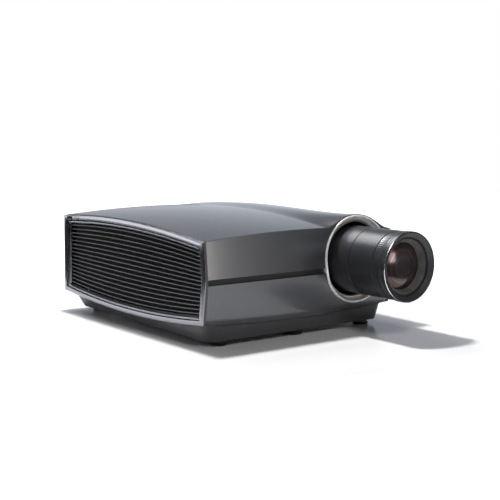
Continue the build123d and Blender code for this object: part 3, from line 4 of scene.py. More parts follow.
import bmesh
import bpy
from mathutils import Matrix, Vector


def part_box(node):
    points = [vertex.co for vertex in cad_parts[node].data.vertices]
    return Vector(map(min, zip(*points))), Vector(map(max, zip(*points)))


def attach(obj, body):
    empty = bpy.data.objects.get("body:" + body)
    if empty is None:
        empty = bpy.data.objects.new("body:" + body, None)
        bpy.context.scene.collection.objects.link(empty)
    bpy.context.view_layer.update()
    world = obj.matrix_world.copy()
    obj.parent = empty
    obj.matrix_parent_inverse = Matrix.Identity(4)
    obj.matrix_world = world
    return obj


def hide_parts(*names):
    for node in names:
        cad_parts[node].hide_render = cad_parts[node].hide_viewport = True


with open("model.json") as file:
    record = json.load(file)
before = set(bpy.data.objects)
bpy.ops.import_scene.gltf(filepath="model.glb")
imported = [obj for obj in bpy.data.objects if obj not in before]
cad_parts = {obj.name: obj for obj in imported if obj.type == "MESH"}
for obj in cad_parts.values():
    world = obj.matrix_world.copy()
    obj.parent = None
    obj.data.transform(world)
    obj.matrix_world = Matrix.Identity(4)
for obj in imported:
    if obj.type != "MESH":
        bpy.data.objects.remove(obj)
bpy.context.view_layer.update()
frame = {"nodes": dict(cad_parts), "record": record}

# ------------------------------------------------------------------ driving dimensions, in metres
MM = 0.001
HALF_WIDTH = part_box("side_frame_right")[1].x
BACK_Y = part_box("side_frame_right")[1].y
GROOVE_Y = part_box("side_frame_right")[0].y
BULGE = 8 * MM
FRONT_Y = GROOVE_Y + BULGE
GROOVE_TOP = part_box("front_panel_upper")[0].z
GROOVE_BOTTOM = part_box("front_panel_lower")[1].z
PANEL_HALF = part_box("front_panel_upper")[1].x
TOP_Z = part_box("top_cover")[1].z
SKIN = 3 * MM

CROWN_Z = 229.7 * MM
CROWN_Y = 127 * MM
CROWN_RADIUS_X = 2852 * MM
CROWN_RADIUS_Y = 2379 * MM
BELLY_Z = 20 * MM
BELLY_Y = 75 * MM
BELLY_RADIUS_X = 2976 * MM
BELLY_RADIUS_Y = 2252 * MM
CORNER_TOP = 199.3 * MM
CORNER_BOTTOM = 44.5 * MM


def radius_of(node):
    """Radius of a node that is round about the lens axis."""
    low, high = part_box(node)
    return (high.z - low.z) / 2


LENS_X = (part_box("lens_hood")[0].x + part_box("lens_hood")[1].x) / 2
LENS_Z = (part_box("lens_hood")[0].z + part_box("lens_hood")[1].z) / 2
RING_R = radius_of("lens_ring")
RING_BACK_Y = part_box("lens_ring")[1].y
OPENING_R = 75 * MM
BARREL_R = radius_of("zoom_ring")
HOOD_R = radius_of("lens_hood")
RIM_Y, HOOD_BACK_Y = (corner.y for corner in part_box("lens_hood"))
BAFFLE_R = 46.5 * MM
SWELL_R = TOP_Z - LENS_Z

OPENING_INSET = 18.7 * MM
LOUVRE_COUNT = 16


def crown_height(x, y):
    """Height of the crowned top surface, as the side frames follow it."""
    radius = CROWN_RADIUS_X - CROWN_RADIUS_Y + math.sqrt(CROWN_RADIUS_Y**2 - (y - CROWN_Y) ** 2)
    return CROWN_Z - CROWN_RADIUS_X + math.sqrt(radius**2 - x**2)


def belly_height(x, y):
    """Height of the bowed lower edge of the body."""
    radius = BELLY_RADIUS_X - BELLY_RADIUS_Y + math.sqrt(BELLY_RADIUS_Y**2 - (y - BELLY_Y) ** 2)
    return BELLY_Z + BELLY_RADIUS_X - math.sqrt(radius**2 - x**2)


def lean_y(z):
    """Place of the front face, which stands forward along the groove."""
    if z > GROOVE_TOP:
        return GROOVE_Y + BULGE * (z - GROOVE_TOP) / (CORNER_TOP - GROOVE_TOP)
    if z < GROOVE_BOTTOM:
        return GROOVE_Y + BULGE * (GROOVE_BOTTOM - z) / (GROOVE_BOTTOM - CORNER_BOTTOM)
    return GROOVE_Y


SWELL_LENGTH = 300 * MM
SWELL_SPREAD = 0.25
SWELL_BLEND = 20 * MM
SWELL_WIDENING = 1.04
SWELL_TOP_Z = LENS_Z + RING_R + 1.5 * MM


def cover_height(x, y):
    """The crown with the swelling over the lens opening, run together smoothly."""
    crown = crown_height(x, y)
    along = min(max((y - FRONT_Y) / SWELL_LENGTH, 0), 1)
    ridge = crown_height(LENS_X, y) + (SWELL_TOP_Z - crown_height(LENS_X, FRONT_Y)) * (1 - along) ** 2
    radius = SWELL_R + SWELL_SPREAD * max(y - FRONT_Y, 0)
    across = abs(x - LENS_X) / SWELL_WIDENING
    if across >= radius:
        return crown
    swell = ridge - radius + math.sqrt(radius**2 - across**2)
    share = min(max(0.5 + 0.5 * (swell - crown) / SWELL_BLEND, 0), 1)
    return crown + (swell - crown) * share + SWELL_BLEND * share * (1 - share)


# ------------------------------------------------------------------ materials
class Shader:
    """A small node-tree writer around one Principled BSDF; textures lie in the object's own space."""

    def __init__(self, name):
        self.material = bpy.data.materials.new(name)
        self.material.use_nodes = True
        self.tree = self.material.node_tree
        self.bsdf = self.tree.nodes["Principled BSDF"]
        self.place = self.tree.nodes.new("ShaderNodeTexCoord").outputs["Object"]

    def node(self, kind, **values):
        made = self.tree.nodes.new(kind)
        for key, value in values.items():
            setattr(made, key, value)
        return made

    def link(self, source, target):
        self.tree.links.new(source, target)

    def scaled(self, scale):
        mapping = self.node("ShaderNodeMapping")
        mapping.inputs["Scale"].default_value = scale
        self.link(self.place, mapping.inputs["Vector"])
        return mapping.outputs["Vector"]

    def noise(self, scale, detail=3.0, stretch=None):
        made = self.node("ShaderNodeTexNoise")
        made.inputs["Scale"].default_value = scale
        made.inputs["Detail"].default_value = detail
        self.link(self.scaled(stretch) if stretch else self.place, made.inputs["Vector"])
        return made.outputs["Fac"]

    def ramp(self, source, low, high, low_at=0.3, high_at=0.7):
        made = self.node("ShaderNodeValToRGB")
        first, last = made.color_ramp.elements
        first.position, last.position = low_at, high_at
        first.color, last.color = (*low, 1), (*high, 1)
        self.link(source, made.inputs["Fac"])
        return made.outputs["Color"]

    def spread(self, source, low, high):
        made = self.node("ShaderNodeMapRange")
        made.inputs["From Min"].default_value = 0.3
        made.inputs["From Max"].default_value = 0.7
        made.inputs["To Min"].default_value = low
        made.inputs["To Max"].default_value = high
        self.link(source, made.inputs["Value"])
        return made.outputs["Result"]

    def bump(self, source, strength, distance):
        made = self.node("ShaderNodeBump")
        made.inputs["Strength"].default_value = strength
        made.inputs["Distance"].default_value = distance
        self.link(source, made.inputs["Height"])
        self.link(made.outputs["Normal"], self.bsdf.inputs["Normal"])

    def set(self, **values):
        for key, value in values.items():
            self.bsdf.inputs[key.replace("_", " ")].default_value = value


def tinted(colour, factor):
    """The colour made lighter or darker."""
    return tuple(min(channel * factor, 1) for channel in colour)


def edge_wear(shader, colour, colour_output, amount):
    """Lighter colour along convex edges."""
    geometry = shader.node("ShaderNodeNewGeometry")
    wear = shader.node("ShaderNodeMapRange")
    wear.inputs["From Min"].default_value = 0.52
    wear.inputs["From Max"].default_value = 0.62
    wear.inputs["To Max"].default_value = amount
    shader.link(geometry.outputs["Pointiness"], wear.inputs["Value"])
    mix = shader.node("ShaderNodeMix", data_type="RGBA")
    shader.link(wear.outputs["Result"], mix.inputs["Factor"])
    shader.link(colour_output, mix.inputs["A"])
    mix.inputs["B"].default_value = (*tinted(colour, 2.2), 1)
    return mix.outputs["Result"]


def surface(name, colour, metallic=0.0, rough=0.4, vary=0.06, tint=0.12, patch=14.0, grain=900.0,
            grain_depth=0.02, grain_distance=0.1 * MM, stretch=None, coat=0.0, coat_rough=0.08, wear=0.15,
            specular=0.5):
    """Colour patches, uneven roughness, fine grain and lighter edges on one base colour.

    patch and grain are noise scales, vary is the roughness's spread and tint the colour's.
    """
    shader = Shader(name)
    patches = shader.noise(patch, 4.0)
    colour_output = shader.ramp(patches, tinted(colour, 1 - tint), tinted(colour, 1 + tint))
    shader.link(edge_wear(shader, colour, colour_output, wear), shader.bsdf.inputs["Base Color"])
    unevenness = shader.spread(shader.noise(patch * 3.7, 5.0), rough - vary, rough + vary)
    shader.link(unevenness, shader.bsdf.inputs["Roughness"])
    shader.bump(shader.noise(grain, 2.0, stretch), grain_depth, grain_distance)
    shader.set(Metallic=metallic, Coat_Weight=coat, Coat_Roughness=coat_rough, Specular_IOR_Level=specular)
    return shader.material


def glass(name, tint):
    """Clear tinted glass with a faint smear."""
    shader = Shader(name)
    smear = shader.noise(30.0, 4.0)
    shader.link(shader.ramp(smear, tinted(tint, 0.92), tint), shader.bsdf.inputs["Base Color"])
    shader.link(shader.spread(smear, 0.02, 0.05), shader.bsdf.inputs["Roughness"])
    shader.bump(shader.noise(6.0, 1.0), 0.02, 0.2 * MM)
    shader.set(Transmission_Weight=1.0, IOR=1.5, Coat_Weight=1.0, Coat_Roughness=0.02)
    return shader.material


def coated_element(name, radius):
    """A dark coated lens surface: brown-violet, darker at its edge, with faint lighter rings that are
    painted reflections of the inner elements' rims.
    """
    shader = Shader(name)
    flat = shader.node("ShaderNodeMapping")
    flat.inputs["Location"].default_value = (-LENS_X / radius, 0, -LENS_Z / radius)
    flat.inputs["Scale"].default_value = (1 / radius, 0, 1 / radius)
    shader.link(shader.place, flat.inputs["Vector"])
    reach = shader.node("ShaderNodeVectorMath", operation="LENGTH")
    shader.link(flat.outputs["Vector"], reach.inputs[0])
    colours = shader.node("ShaderNodeValToRGB")
    # The lighter stops at 0.42 and 0.70 are painted reflections of the inner elements' rims.
    stops = [
        (0.0, (0.13, 0.115, 0.12)),
        (0.38, (0.12, 0.10, 0.105)),
        (0.42, (0.17, 0.145, 0.145)),
        (0.46, (0.105, 0.082, 0.086)),
        (0.66, (0.10, 0.075, 0.078)),
        (0.70, (0.16, 0.125, 0.12)),
        (0.75, (0.085, 0.06, 0.058)),
        (0.97, (0.08, 0.052, 0.048)),
    ]
    elements = colours.color_ramp.elements
    elements.remove(elements[1])
    for index, (position, colour) in enumerate(stops):
        stop = elements[0] if index == 0 else elements.new(position)
        stop.position, stop.color = position, (*colour, 1)
    shader.link(reach.outputs["Value"], colours.inputs["Fac"])
    shader.link(colours.outputs["Color"], shader.bsdf.inputs["Base Color"])
    shader.link(shader.spread(shader.noise(60.0, 3.0), 0.12, 0.16), shader.bsdf.inputs["Roughness"])
    shader.bump(shader.noise(9.0, 1.0), 0.02, 0.2 * MM)
    shader.set(Metallic=0.75)
    return shader.material


SLOT_LOOKS = {
    "gloss_grey": dict(colour=(0.095, 0.099, 0.108), metallic=0.55, rough=0.26, vary=0.006, tint=0.012,
        patch=9, grain=2600, grain_depth=0.015, grain_distance=0.01 * MM, coat=0.6, coat_rough=0.1,
        wear=0.0),
    "groove_black": dict(colour=(0.008, 0.008, 0.009), rough=0.55),
    "frame_silver": dict(colour=(0.23, 0.235, 0.255), metallic=1.0, rough=0.24, vary=0.01, tint=0.02,
        patch=20, grain=1500, grain_distance=0.01 * MM, wear=0.05),
    "bezel_silver": dict(colour=(0.25, 0.255, 0.28), metallic=1.0, rough=0.24, vary=0.01, tint=0.02,
        patch=20, grain=1500, grain_distance=0.01 * MM, wear=0.05),
    "louvre_black": dict(colour=(0.044, 0.045, 0.051), metallic=0.3, rough=0.3, vary=0.01, tint=0.04,
        patch=20, grain=1400, grain_depth=0.03, grain_distance=0.03 * MM, coat=0.2, coat_rough=0.2,
        wear=0.3),
    "filter_foam": dict(colour=(0.012, 0.012, 0.012), rough=0.9, vary=0.05, tint=0.4, patch=400,
        grain=700, grain_depth=1.0, grain_distance=0.8 * MM),
    "tray_black": dict(colour=(0.045, 0.046, 0.051), rough=0.42, vary=0.05, tint=0.1, patch=16,
        grain=1800, grain_depth=0.25, grain_distance=0.08 * MM),
    "case_black": dict(colour=(0.028, 0.029, 0.032), rough=0.45, vary=0.05, tint=0.1, patch=16,
        grain=1800, grain_depth=0.25, grain_distance=0.08 * MM),
    "sheet_steel": dict(colour=(0.05, 0.05, 0.053), metallic=0.4, rough=0.5, tint=0.1, patch=20,
        grain=1200, grain_depth=0.2, grain_distance=0.06 * MM),
    "socket_metal": dict(colour=(0.5, 0.5, 0.52), metallic=1.0, rough=0.28, tint=0.08, patch=60,
        grain_depth=0.1, grain_distance=0.04 * MM, stretch=(1, 1, 12)),
    "socket_black": dict(colour=(0.015, 0.015, 0.017), rough=0.3, vary=0.05, tint=0.1, patch=60,
        grain=1400, grain_depth=0.15, grain_distance=0.05 * MM),
    "button_black": dict(colour=(0.035, 0.035, 0.038), rough=0.38, vary=0.05, tint=0.1, patch=60,
        grain=1400, grain_depth=0.15, grain_distance=0.05 * MM),
    "screw_black": dict(colour=(0.03, 0.03, 0.032), metallic=0.7, vary=0.08, tint=0.15, patch=120,
        grain=1500, grain_depth=0.1, grain_distance=0.05 * MM, wear=0.6),
    "foot_rubber": dict(colour=(0.010, 0.010, 0.010), rough=0.8, vary=0.05, tint=0.2, patch=60,
        grain_depth=0.4, grain_distance=0.2 * MM, wear=0.0, specular=0.25),
    "stem_steel": dict(colour=(0.06, 0.06, 0.063), metallic=0.9, vary=0.05, tint=0.08, patch=60,
        grain_depth=0.15, grain_distance=0.05 * MM, stretch=(1, 1, 10)),
    "status_black": dict(colour=(0.003, 0.003, 0.004), rough=0.5, vary=0.02, tint=0.1, patch=40,
        grain_distance=0.02 * MM, wear=0.0, specular=0.08),
    "indicator_lens": dict(colour=(0.03, 0.03, 0.033), vary=0.04, tint=0.1, patch=90, grain_depth=0.05,
        grain_distance=0.03 * MM, coat=0.1),
    # ring_nickel and liner_nickel are one nickel in a lit and a shaded copy: the ring's near-white, weakly
    # metallic colour is a painted sheen that makes its lip read bright, and the liner is the darker, shaded
    # copy.
    "ring_nickel": dict(colour=(0.98, 0.97, 0.95), metallic=0.25, rough=0.28, vary=0.02, tint=0.02,
        patch=12, grain=1200, grain_distance=0.01 * MM, wear=0.0),
    "liner_nickel": dict(colour=(0.46, 0.44, 0.41), metallic=0.85, rough=0.32, vary=0.03, tint=0.03,
        patch=12, grain=1200, grain_depth=0.03, grain_distance=0.02 * MM, wear=0.0),
    "barrel_black": dict(colour=(0.036, 0.037, 0.043), metallic=0.4, rough=0.34, vary=0.01, tint=0.04,
        patch=18, grain=1800, grain_depth=0.05, grain_distance=0.02 * MM, coat=0.2, coat_rough=0.25,
        wear=0.0),
    "carriage_alloy": dict(colour=(0.52, 0.52, 0.54), metallic=1.0, rough=0.35, vary=0.07, tint=0.06,
        patch=30, grain=800, grain_depth=0.1, grain_distance=0.05 * MM, stretch=(14, 1, 1)),
    "module_alloy": dict(colour=(0.38, 0.38, 0.4), metallic=0.9, rough=0.5, vary=0.07, tint=0.08,
        patch=30, grain=1100, grain_depth=0.3),
    "phosphor_disc": dict(colour=(0.75, 0.62, 0.16), metallic=0.2, rough=0.5, vary=0.1, tint=0.15,
        patch=60, grain=700, grain_depth=0.2),
    "board_green": dict(colour=(0.02, 0.12, 0.06), rough=0.35, vary=0.07, tint=0.2, patch=120, grain=500,
        grain_depth=0.2),
    "fan_black": dict(colour=(0.02, 0.02, 0.022), rough=0.45, tint=0.1, patch=30, grain=1200,
        grain_depth=0.2, grain_distance=0.08 * MM),
}
DETAIL_LOOKS = {
    "tunnel_black": dict(colour=(0.004, 0.004, 0.0045), rough=0.7, vary=0.05, tint=0.2, patch=30,
        grain_depth=0.2),
    # The baffle is coloured mid-grey rather than black: painted light for the lit ring round the glass.
    "baffle_painted_lit": dict(colour=(0.12, 0.118, 0.118), metallic=0.2, vary=0.05, tint=0.2, patch=50,
        grain=1200, grain_depth=0.15, grain_distance=0.05 * MM),
    "cone_grey": dict(colour=(0.038, 0.038, 0.040), metallic=0.2, rough=0.42, vary=0.02, tint=0.04,
        patch=40, grain=1400, grain_depth=0.08, grain_distance=0.03 * MM),
    "seal_grey": dict(colour=(0.055, 0.056, 0.06), metallic=0.2, rough=0.45, vary=0.02, tint=0.04,
        patch=40, grain=1400, grain_depth=0.08, grain_distance=0.03 * MM),
    "rim_silver": dict(colour=(0.6, 0.6, 0.62), metallic=1.0, rough=0.25, vary=0.05, tint=0.05, patch=40,
        grain_depth=0.05, grain_distance=0.03 * MM),
}
materials = {name: surface(name, **look) for name, look in SLOT_LOOKS.items()}
materials["lens_glass"] = glass("lens_glass", (0.80, 0.74, 0.80))
details = {name: surface(name, **look) for name, look in DETAIL_LOOKS.items()}
details["element_purple_painted_rings"] = coated_element("element_purple_painted_rings", BAFFLE_R)

body_of_node = {}
for body, nodes in frame["record"]["behaviour"]["bodies"].items():
    body_of_node.update({node: body for node in nodes})
slot_of_node = {subpart["node"]: subpart["material_slot"] for subpart in frame["record"]["subparts"]}
for node, material_slot in slot_of_node.items():
    cad_object = frame["nodes"][node]
    cad_object.data.materials.clear()
    cad_object.data.materials.append(materials[material_slot])


# ------------------------------------------------------------------ mesh helpers
WELD = 0.01 * MM


def piece(name, mesh, node, material=None, smooth_angle=35.0, stands_for=True):
    """Links a mesh as a piece that rides with a CAD node, takes its slot and, if asked, replaces it."""
    made = bpy.data.objects.new(name, mesh)
    bpy.context.scene.collection.objects.link(made)
    mesh.materials.append(material or materials[slot_of_node[node]])
    mesh.shade_smooth()
    mesh.set_sharp_from_angle(angle=math.radians(smooth_angle))
    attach(made, body_of_node[node])
    if stands_for:
        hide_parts(node)
    return made


def spaced(low, high, count):
    """Evenly spaced values from low to high, both included."""
    return [low + (high - low) * i / count for i in range(count + 1)]


def mesh_from(name, build):
    """Runs build on a new bmesh and returns the finished mesh."""
    form = bmesh.new()
    build(form)
    bmesh.ops.remove_doubles(form, verts=form.verts, dist=WELD)
    bmesh.ops.recalc_face_normals(form, faces=form.faces)
    mesh = bpy.data.meshes.new(name)
    form.to_mesh(mesh)
    form.free()
    return mesh


def grid_faces(form, rows, closed_rows=False, closed_columns=False):
    """Quads between rows of vertices."""
    count = len(rows)
    width = len(rows[0])
    for i in range(count if closed_rows else count - 1):
        for j in range(width if closed_columns else width - 1):
            row, next_row, k = rows[i], rows[(i + 1) % count], (j + 1) % width
            corners = (row[j], next_row[j], next_row[k], row[k])
            if len(set(corners)) == 4:
                form.faces.new(corners)


def capped_bar(form, rows):
    """A bar through closed sections of vertices, with a face on each end."""
    grid_faces(form, rows, closed_columns=True)
    form.faces.new(rows[0])
    form.faces.new(list(reversed(rows[-1])))


def lathe(name, outline, segments=192):
    """Turns a closed (y, radius) outline about the lens axis; outline may be a function of the angle."""

    def build(form):
        rows = []
        for step in range(segments):
            angle = 2 * math.pi * step / segments
            points = outline(angle) if callable(outline) else outline
            side, up = math.cos(angle), math.sin(angle)
            rows.append([form.verts.new((LENS_X + r * side, y, LENS_Z + r * up)) for y, r in points])
        grid_faces(form, rows, closed_rows=True, closed_columns=True)

    return mesh_from(name, build)


def turned(name, outline, node, segments=192, **look):
    """A piece made by turning an outline."""
    piece(name, lathe(name, outline, segments), node, **look)


def rounded(outline, radius, steps=3):
    """Closed outline with every corner rounded by up to radius."""
    points = []
    count = len(outline)
    for i, corner in enumerate(outline):
        corner = Vector(corner)
        before = Vector(outline[i - 1]) - corner
        after = Vector(outline[(i + 1) % count]) - corner
        reach = min(radius, before.length * 0.45, after.length * 0.45)
        start = corner + before.normalized() * reach
        end = corner + after.normalized() * reach
        for step in range(steps + 1):
            t = step / steps
            points.append(tuple(start * (1 - t) ** 2 + corner * 2 * t * (1 - t) + end * t**2))
    return points


def soften(made, width, angle=50.0, segments=3):
    """Rounds the edges of a piece with a modifier."""
    bevel = made.modifiers.new("edges", "BEVEL")
    bevel.width = width
    bevel.segments = segments
    bevel.limit_method = "ANGLE"
    bevel.angle_limit = math.radians(angle)
    bevel.harden_normals = True


def bevelled_copy(node, width, segments=2, angle=40.0):
    """A copy of a CAD node's shape with its edges rounded."""
    form = bmesh.new()
    form.from_mesh(frame["nodes"][node].data)
    bmesh.ops.remove_doubles(form, verts=form.verts, dist=WELD)
    bmesh.ops.dissolve_limit(form, angle_limit=math.radians(0.5), verts=form.verts, edges=form.edges)
    mesh = bpy.data.meshes.new(node + "_rounded")
    form.to_mesh(mesh)
    form.free()
    made = piece(node + "_rounded", mesh, node, smooth_angle=angle)
    soften(made, width, angle, segments)


# ------------------------------------------------------------------ outer covers
def sheet_mesh(name, outer, thickness):
    """A sheet: a grid of points for its outer side, and thickness as a vector to its inner side."""

    def build(form):
        front = [[form.verts.new(point) for point in row] for row in outer]
        back = [[form.verts.new(Vector(point) + thickness) for point in row] for row in outer]
        grid_faces(form, front)
        grid_faces(form, [list(reversed(row)) for row in back])
        last_row, last_column = len(outer) - 1, len(outer[0]) - 1
        rim = [(0, j) for j in range(last_column)] + [(i, last_column) for i in range(last_row)]
        rim += [(last_row, j) for j in range(last_column, 0, -1)] + [(i, 0) for i in range(last_row, 0, -1)]
        for (i, j), (i2, j2) in zip(rim, rim[1:] + rim[:1]):
            form.faces.new((front[i][j], front[i2][j2], back[i2][j2], back[i][j]))

    return mesh_from(name, build)


COVER_SEAM = 0.5 * MM
COVER_COLUMNS = 150
COVER_ROWS = 140
COVER_CROWDING = 1.4
EDGE_SOFTNESS = 0.8 * MM


def cover_row(x):
    """Points of the cover at one x, closer together towards the front."""
    front = lean_y(cover_height(x, FRONT_Y)) + SKIN + COVER_SEAM
    back = BACK_Y - SKIN - COVER_SEAM
    stations = [front + (back - front) * share**COVER_CROWDING for share in spaced(0, 1, COVER_ROWS)]
    return [(x, y, cover_height(x, y)) for y in stations]


cover_rows = [cover_row(x) for x in spaced(-PANEL_HALF, PANEL_HALF, COVER_COLUMNS)]
cover_mesh = sheet_mesh("top_cover_shell", cover_rows, Vector((0, 0, -SKIN)))
soften(piece("top_cover_shell", cover_mesh, "top_cover"), EDGE_SOFTNESS)

SETTLING_ROUNDS = 12
PANEL_HOLE_R = RING_R + 0.3 * MM
PANEL_STEPS = 26
PANEL_COLUMNS = 70
FAN_STEPS = 60
FAN_START = math.radians(62)
FAN_OVERRUN = 1.02
RIM_STEPS = 8
ROLL_HEIGHT = 15 * MM
ROLL_DEPTH = 2.4 * MM


def top_edge(x):
    """Height of the front face's upper edge."""
    return cover_height(x, FRONT_Y)


def bottom_edge(x):
    """Height of the front face's lower edge."""
    return belly_height(x, FRONT_Y)


def panel_edge_point(edge, angle):
    """Where a ray from the lens axis leaves the front face: at its free edge or its right end."""
    side, up = math.cos(angle), math.sin(angle)
    end = (PANEL_HALF - LENS_X) / side if side > 0 else 2 * PANEL_HALF
    reach = min(PANEL_HOLE_R, end)
    for _ in range(SETTLING_ROUNDS):
        reach = min((edge(LENS_X + reach * side) - LENS_Z) / up, end)
    return LENS_X + reach * side, LENS_Z + reach * up


def front_panel(name, node, seam_z, edge, turn):
    """The front face between the groove and a free edge, round the ring; turn is 1 above, -1 below."""
    rise = math.asin((seam_z - LENS_Z) / PANEL_HOLE_R)
    start = math.pi - rise
    middle = math.pi - turn * FAN_START
    corner = math.atan2(edge(PANEL_HALF) - LENS_Z, PANEL_HALF - LENS_X)
    end = turn * math.acos((PANEL_HALF - LENS_X) / PANEL_HOLE_R) * FAN_OVERRUN if turn > 0 else rise
    if turn < 0:
        corner, end = corner + 2 * math.pi, end + 2 * math.pi

    def on_hole(angle):
        return LENS_X + PANEL_HOLE_R * math.cos(angle), LENS_Z + PANEL_HOLE_R * math.sin(angle)

    def fan(angle):
        inner, outer = Vector(on_hole(angle)), Vector(panel_edge_point(edge, angle))
        return [inner.lerp(outer, share) for share in spaced(0, 1, RIM_STEPS)]

    right = [Vector(on_hole(angle)) for angle in spaced(start, middle, PANEL_STEPS)] + fan(middle)[1:]
    lengths = [0.0]
    for before, after in zip(right, right[1:]):
        lengths.append(lengths[-1] + (after - before).length)
    left_height = edge(-PANEL_HALF) - seam_z
    left = [Vector((-PANEL_HALF, seam_z + left_height * reach / lengths[-1])) for reach in lengths]
    columns = []
    for share in spaced(0, 1, PANEL_COLUMNS)[:-1]:
        column = []
        for row, (a, b) in enumerate(zip(left, right)):
            point = a.lerp(b, share)
            chord = edge(-PANEL_HALF) * (1 - share) + right[-1].y * share
            lift = (edge(point.x) - chord) * (lengths[row] / lengths[-1]) ** 2
            column.append(Vector((point.x, point.y + lift)))
        columns.append(column)
    columns.append(right)
    rows = [[(p.x, p.y) for p in column] for column in columns]
    fans = spaced(middle, corner, FAN_STEPS) + spaced(corner, end, FAN_STEPS // 2)[1:]
    fan_rows = [[(p.x, p.y) for p in fan(angle)] for angle in fans]

    def place(x, z):
        """The point on the leaning face, which rolls back along its lower edge."""
        depth = 0.0
        if turn < 0:
            near = max(0.0, 1 - (z - edge(x)) / ROLL_HEIGHT)
            depth = ROLL_DEPTH * near**2
        return Vector((x, lean_y(z) + depth, z))

    def build(form):
        inwards = Vector((0, SKIN, 0))
        for block in (rows, fan_rows):
            front = [[form.verts.new(place(*point)) for point in row] for row in block]
            back = [[form.verts.new(place(*point) + inwards) for point in row] for row in block]
            grid_faces(form, front)
            grid_faces(form, [list(reversed(row)) for row in back])
        bmesh.ops.remove_doubles(form, verts=form.verts, dist=2 * WELD)
        border = [e for e in form.edges if e.is_boundary]
        bmesh.ops.bridge_loops(form, edges=border)

    soften(piece(name, mesh_from(name, build), node), EDGE_SOFTNESS)


front_panel("front_panel_upper_face", "front_panel_upper", GROOVE_TOP, top_edge, 1)
front_panel("front_panel_lower_face", "front_panel_lower", GROOVE_BOTTOM, bottom_edge, -1)


# ------------------------------------------------------------------ ring, liner and tunnel
LIP_R = 2.4 * MM
LIP_PROUD = 0.6 * MM
LIP_STEPS = 12
RING_STEP_R = 80.6 * MM
RING_STEP_Y = RING_BACK_Y - 5 * MM


def ring_outline(angle):
    """The ring's section at an angle: a round lip that follows the front face, and a funnel inwards."""
    lip_y = lean_y(LENS_Z + RING_R * math.sin(angle)) - LIP_PROUD
    line = [(RING_BACK_Y, RING_R)]
    for turn in spaced(0, math.pi, LIP_STEPS):
        line.append((lip_y - LIP_R * math.sin(turn), RING_R - LIP_R * (1 - math.cos(turn))))
    line += [(RING_STEP_Y, RING_STEP_R + 1.2 * MM), (RING_STEP_Y + MM, RING_STEP_R)]
    return line + [(RING_BACK_Y, RING_STEP_R)]


turned("lens_ring_lip", ring_outline, "lens_ring", smooth_angle=40)

LINER_R = 80.3 * MM
liner_outline = [
    (RING_BACK_Y, OPENING_R),
    (RING_BACK_Y - 3.6 * MM, OPENING_R),
    (RING_STEP_Y, OPENING_R + 1.4 * MM),
    (RING_STEP_Y, LINER_R - 0.6 * MM),
    (RING_BACK_Y - 4.4 * MM, LINER_R),
    (RING_BACK_Y, LINER_R),
]
turned("lens_ring_inner", rounded(liner_outline, 0.7 * MM), "lens_ring_liner", smooth_angle=60)

TUNNEL_FRONT_Y, TUNNEL_BACK_Y = (corner.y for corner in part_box("lens_tunnel"))
TUNNEL_R = radius_of("lens_tunnel")
RIB_PITCH = 4 * MM
RIB_DEPTH = 0.9 * MM
tunnel_outline = [(TUNNEL_BACK_Y, TUNNEL_R), (TUNNEL_FRONT_Y, TUNNEL_R)]
rib_y = TUNNEL_FRONT_Y
while rib_y + RIB_PITCH < TUNNEL_BACK_Y:
    tunnel_outline += [
        (rib_y, OPENING_R),
        (rib_y + 0.5 * RIB_PITCH, OPENING_R),
        (rib_y + 0.6 * RIB_PITCH, OPENING_R - RIB_DEPTH),
        (rib_y + 0.9 * RIB_PITCH, OPENING_R - RIB_DEPTH),
    ]
    rib_y += RIB_PITCH
tunnel_outline.append((TUNNEL_BACK_Y, OPENING_R))
turned("lens_tunnel_ribs", tunnel_outline, "lens_tunnel", material=details["tunnel_black"])


# ------------------------------------------------------------------ grilles
def louvre_height(y, share):
    """Height at y of a line that runs at a share of the grille opening's height."""
    bottom = belly_height(HALF_WIDTH, y) + OPENING_INSET
    return bottom + (crown_height(HALF_WIDTH, y) - OPENING_INSET - bottom) * share


LOUVRE_FRONT = 8 * MM
LOUVRE_BACK = 15 * MM
LOUVRE_HALF = 1.2 * MM
LOUVRE_GAP = 0.3 * MM
LOUVRE_STATIONS = 60


def louvre_section():
    """Depth and height of the slat's section about its middle; its outer edge is rounded."""
    return [
        (LOUVRE_FRONT + 0.9 * MM, -LOUVRE_HALF),
        (LOUVRE_FRONT + 0.25 * MM, -0.75 * LOUVRE_HALF),
        (LOUVRE_FRONT, 0.0),
        (LOUVRE_FRONT + 0.25 * MM, 0.75 * LOUVRE_HALF),
        (LOUVRE_FRONT + 0.9 * MM, LOUVRE_HALF),
        (LOUVRE_BACK, 0.8 * LOUVRE_HALF),
        (LOUVRE_BACK, -0.8 * LOUVRE_HALF),
    ]


def louvres(side, sign):
    """All slats of one grille."""
    node = "grille_louvres_" + side

    def build(form):
        for bar in range(LOUVRE_COUNT):
            share = (bar + 0.5) / LOUVRE_COUNT
            front = lean_y(louvre_height(FRONT_Y, share)) + OPENING_INSET + LOUVRE_GAP
            back = BACK_Y - OPENING_INSET - LOUVRE_GAP
            rows = []
            for y in spaced(front, back, LOUVRE_STATIONS):
                middle = louvre_height(y, share)
                section = [(sign * (HALF_WIDTH - d), y, middle + h) for d, h in louvre_section()]
                rows.append([form.verts.new(point) for point in section])
            capped_bar(form, rows)

    piece(node + "_slats", mesh_from(node + "_slats", build), node, smooth_angle=50)


FRAME_DEPTH = 8 * MM
FRAME_BAND = 10 * MM
FRAME_FALL = 2.3 * MM
FRAME_SINK = 0.25 * MM
LOOP_STEPS = 48
BACK_STEPS = 6
FRONT_STEPS = 4
BACK_FALL = 0.1


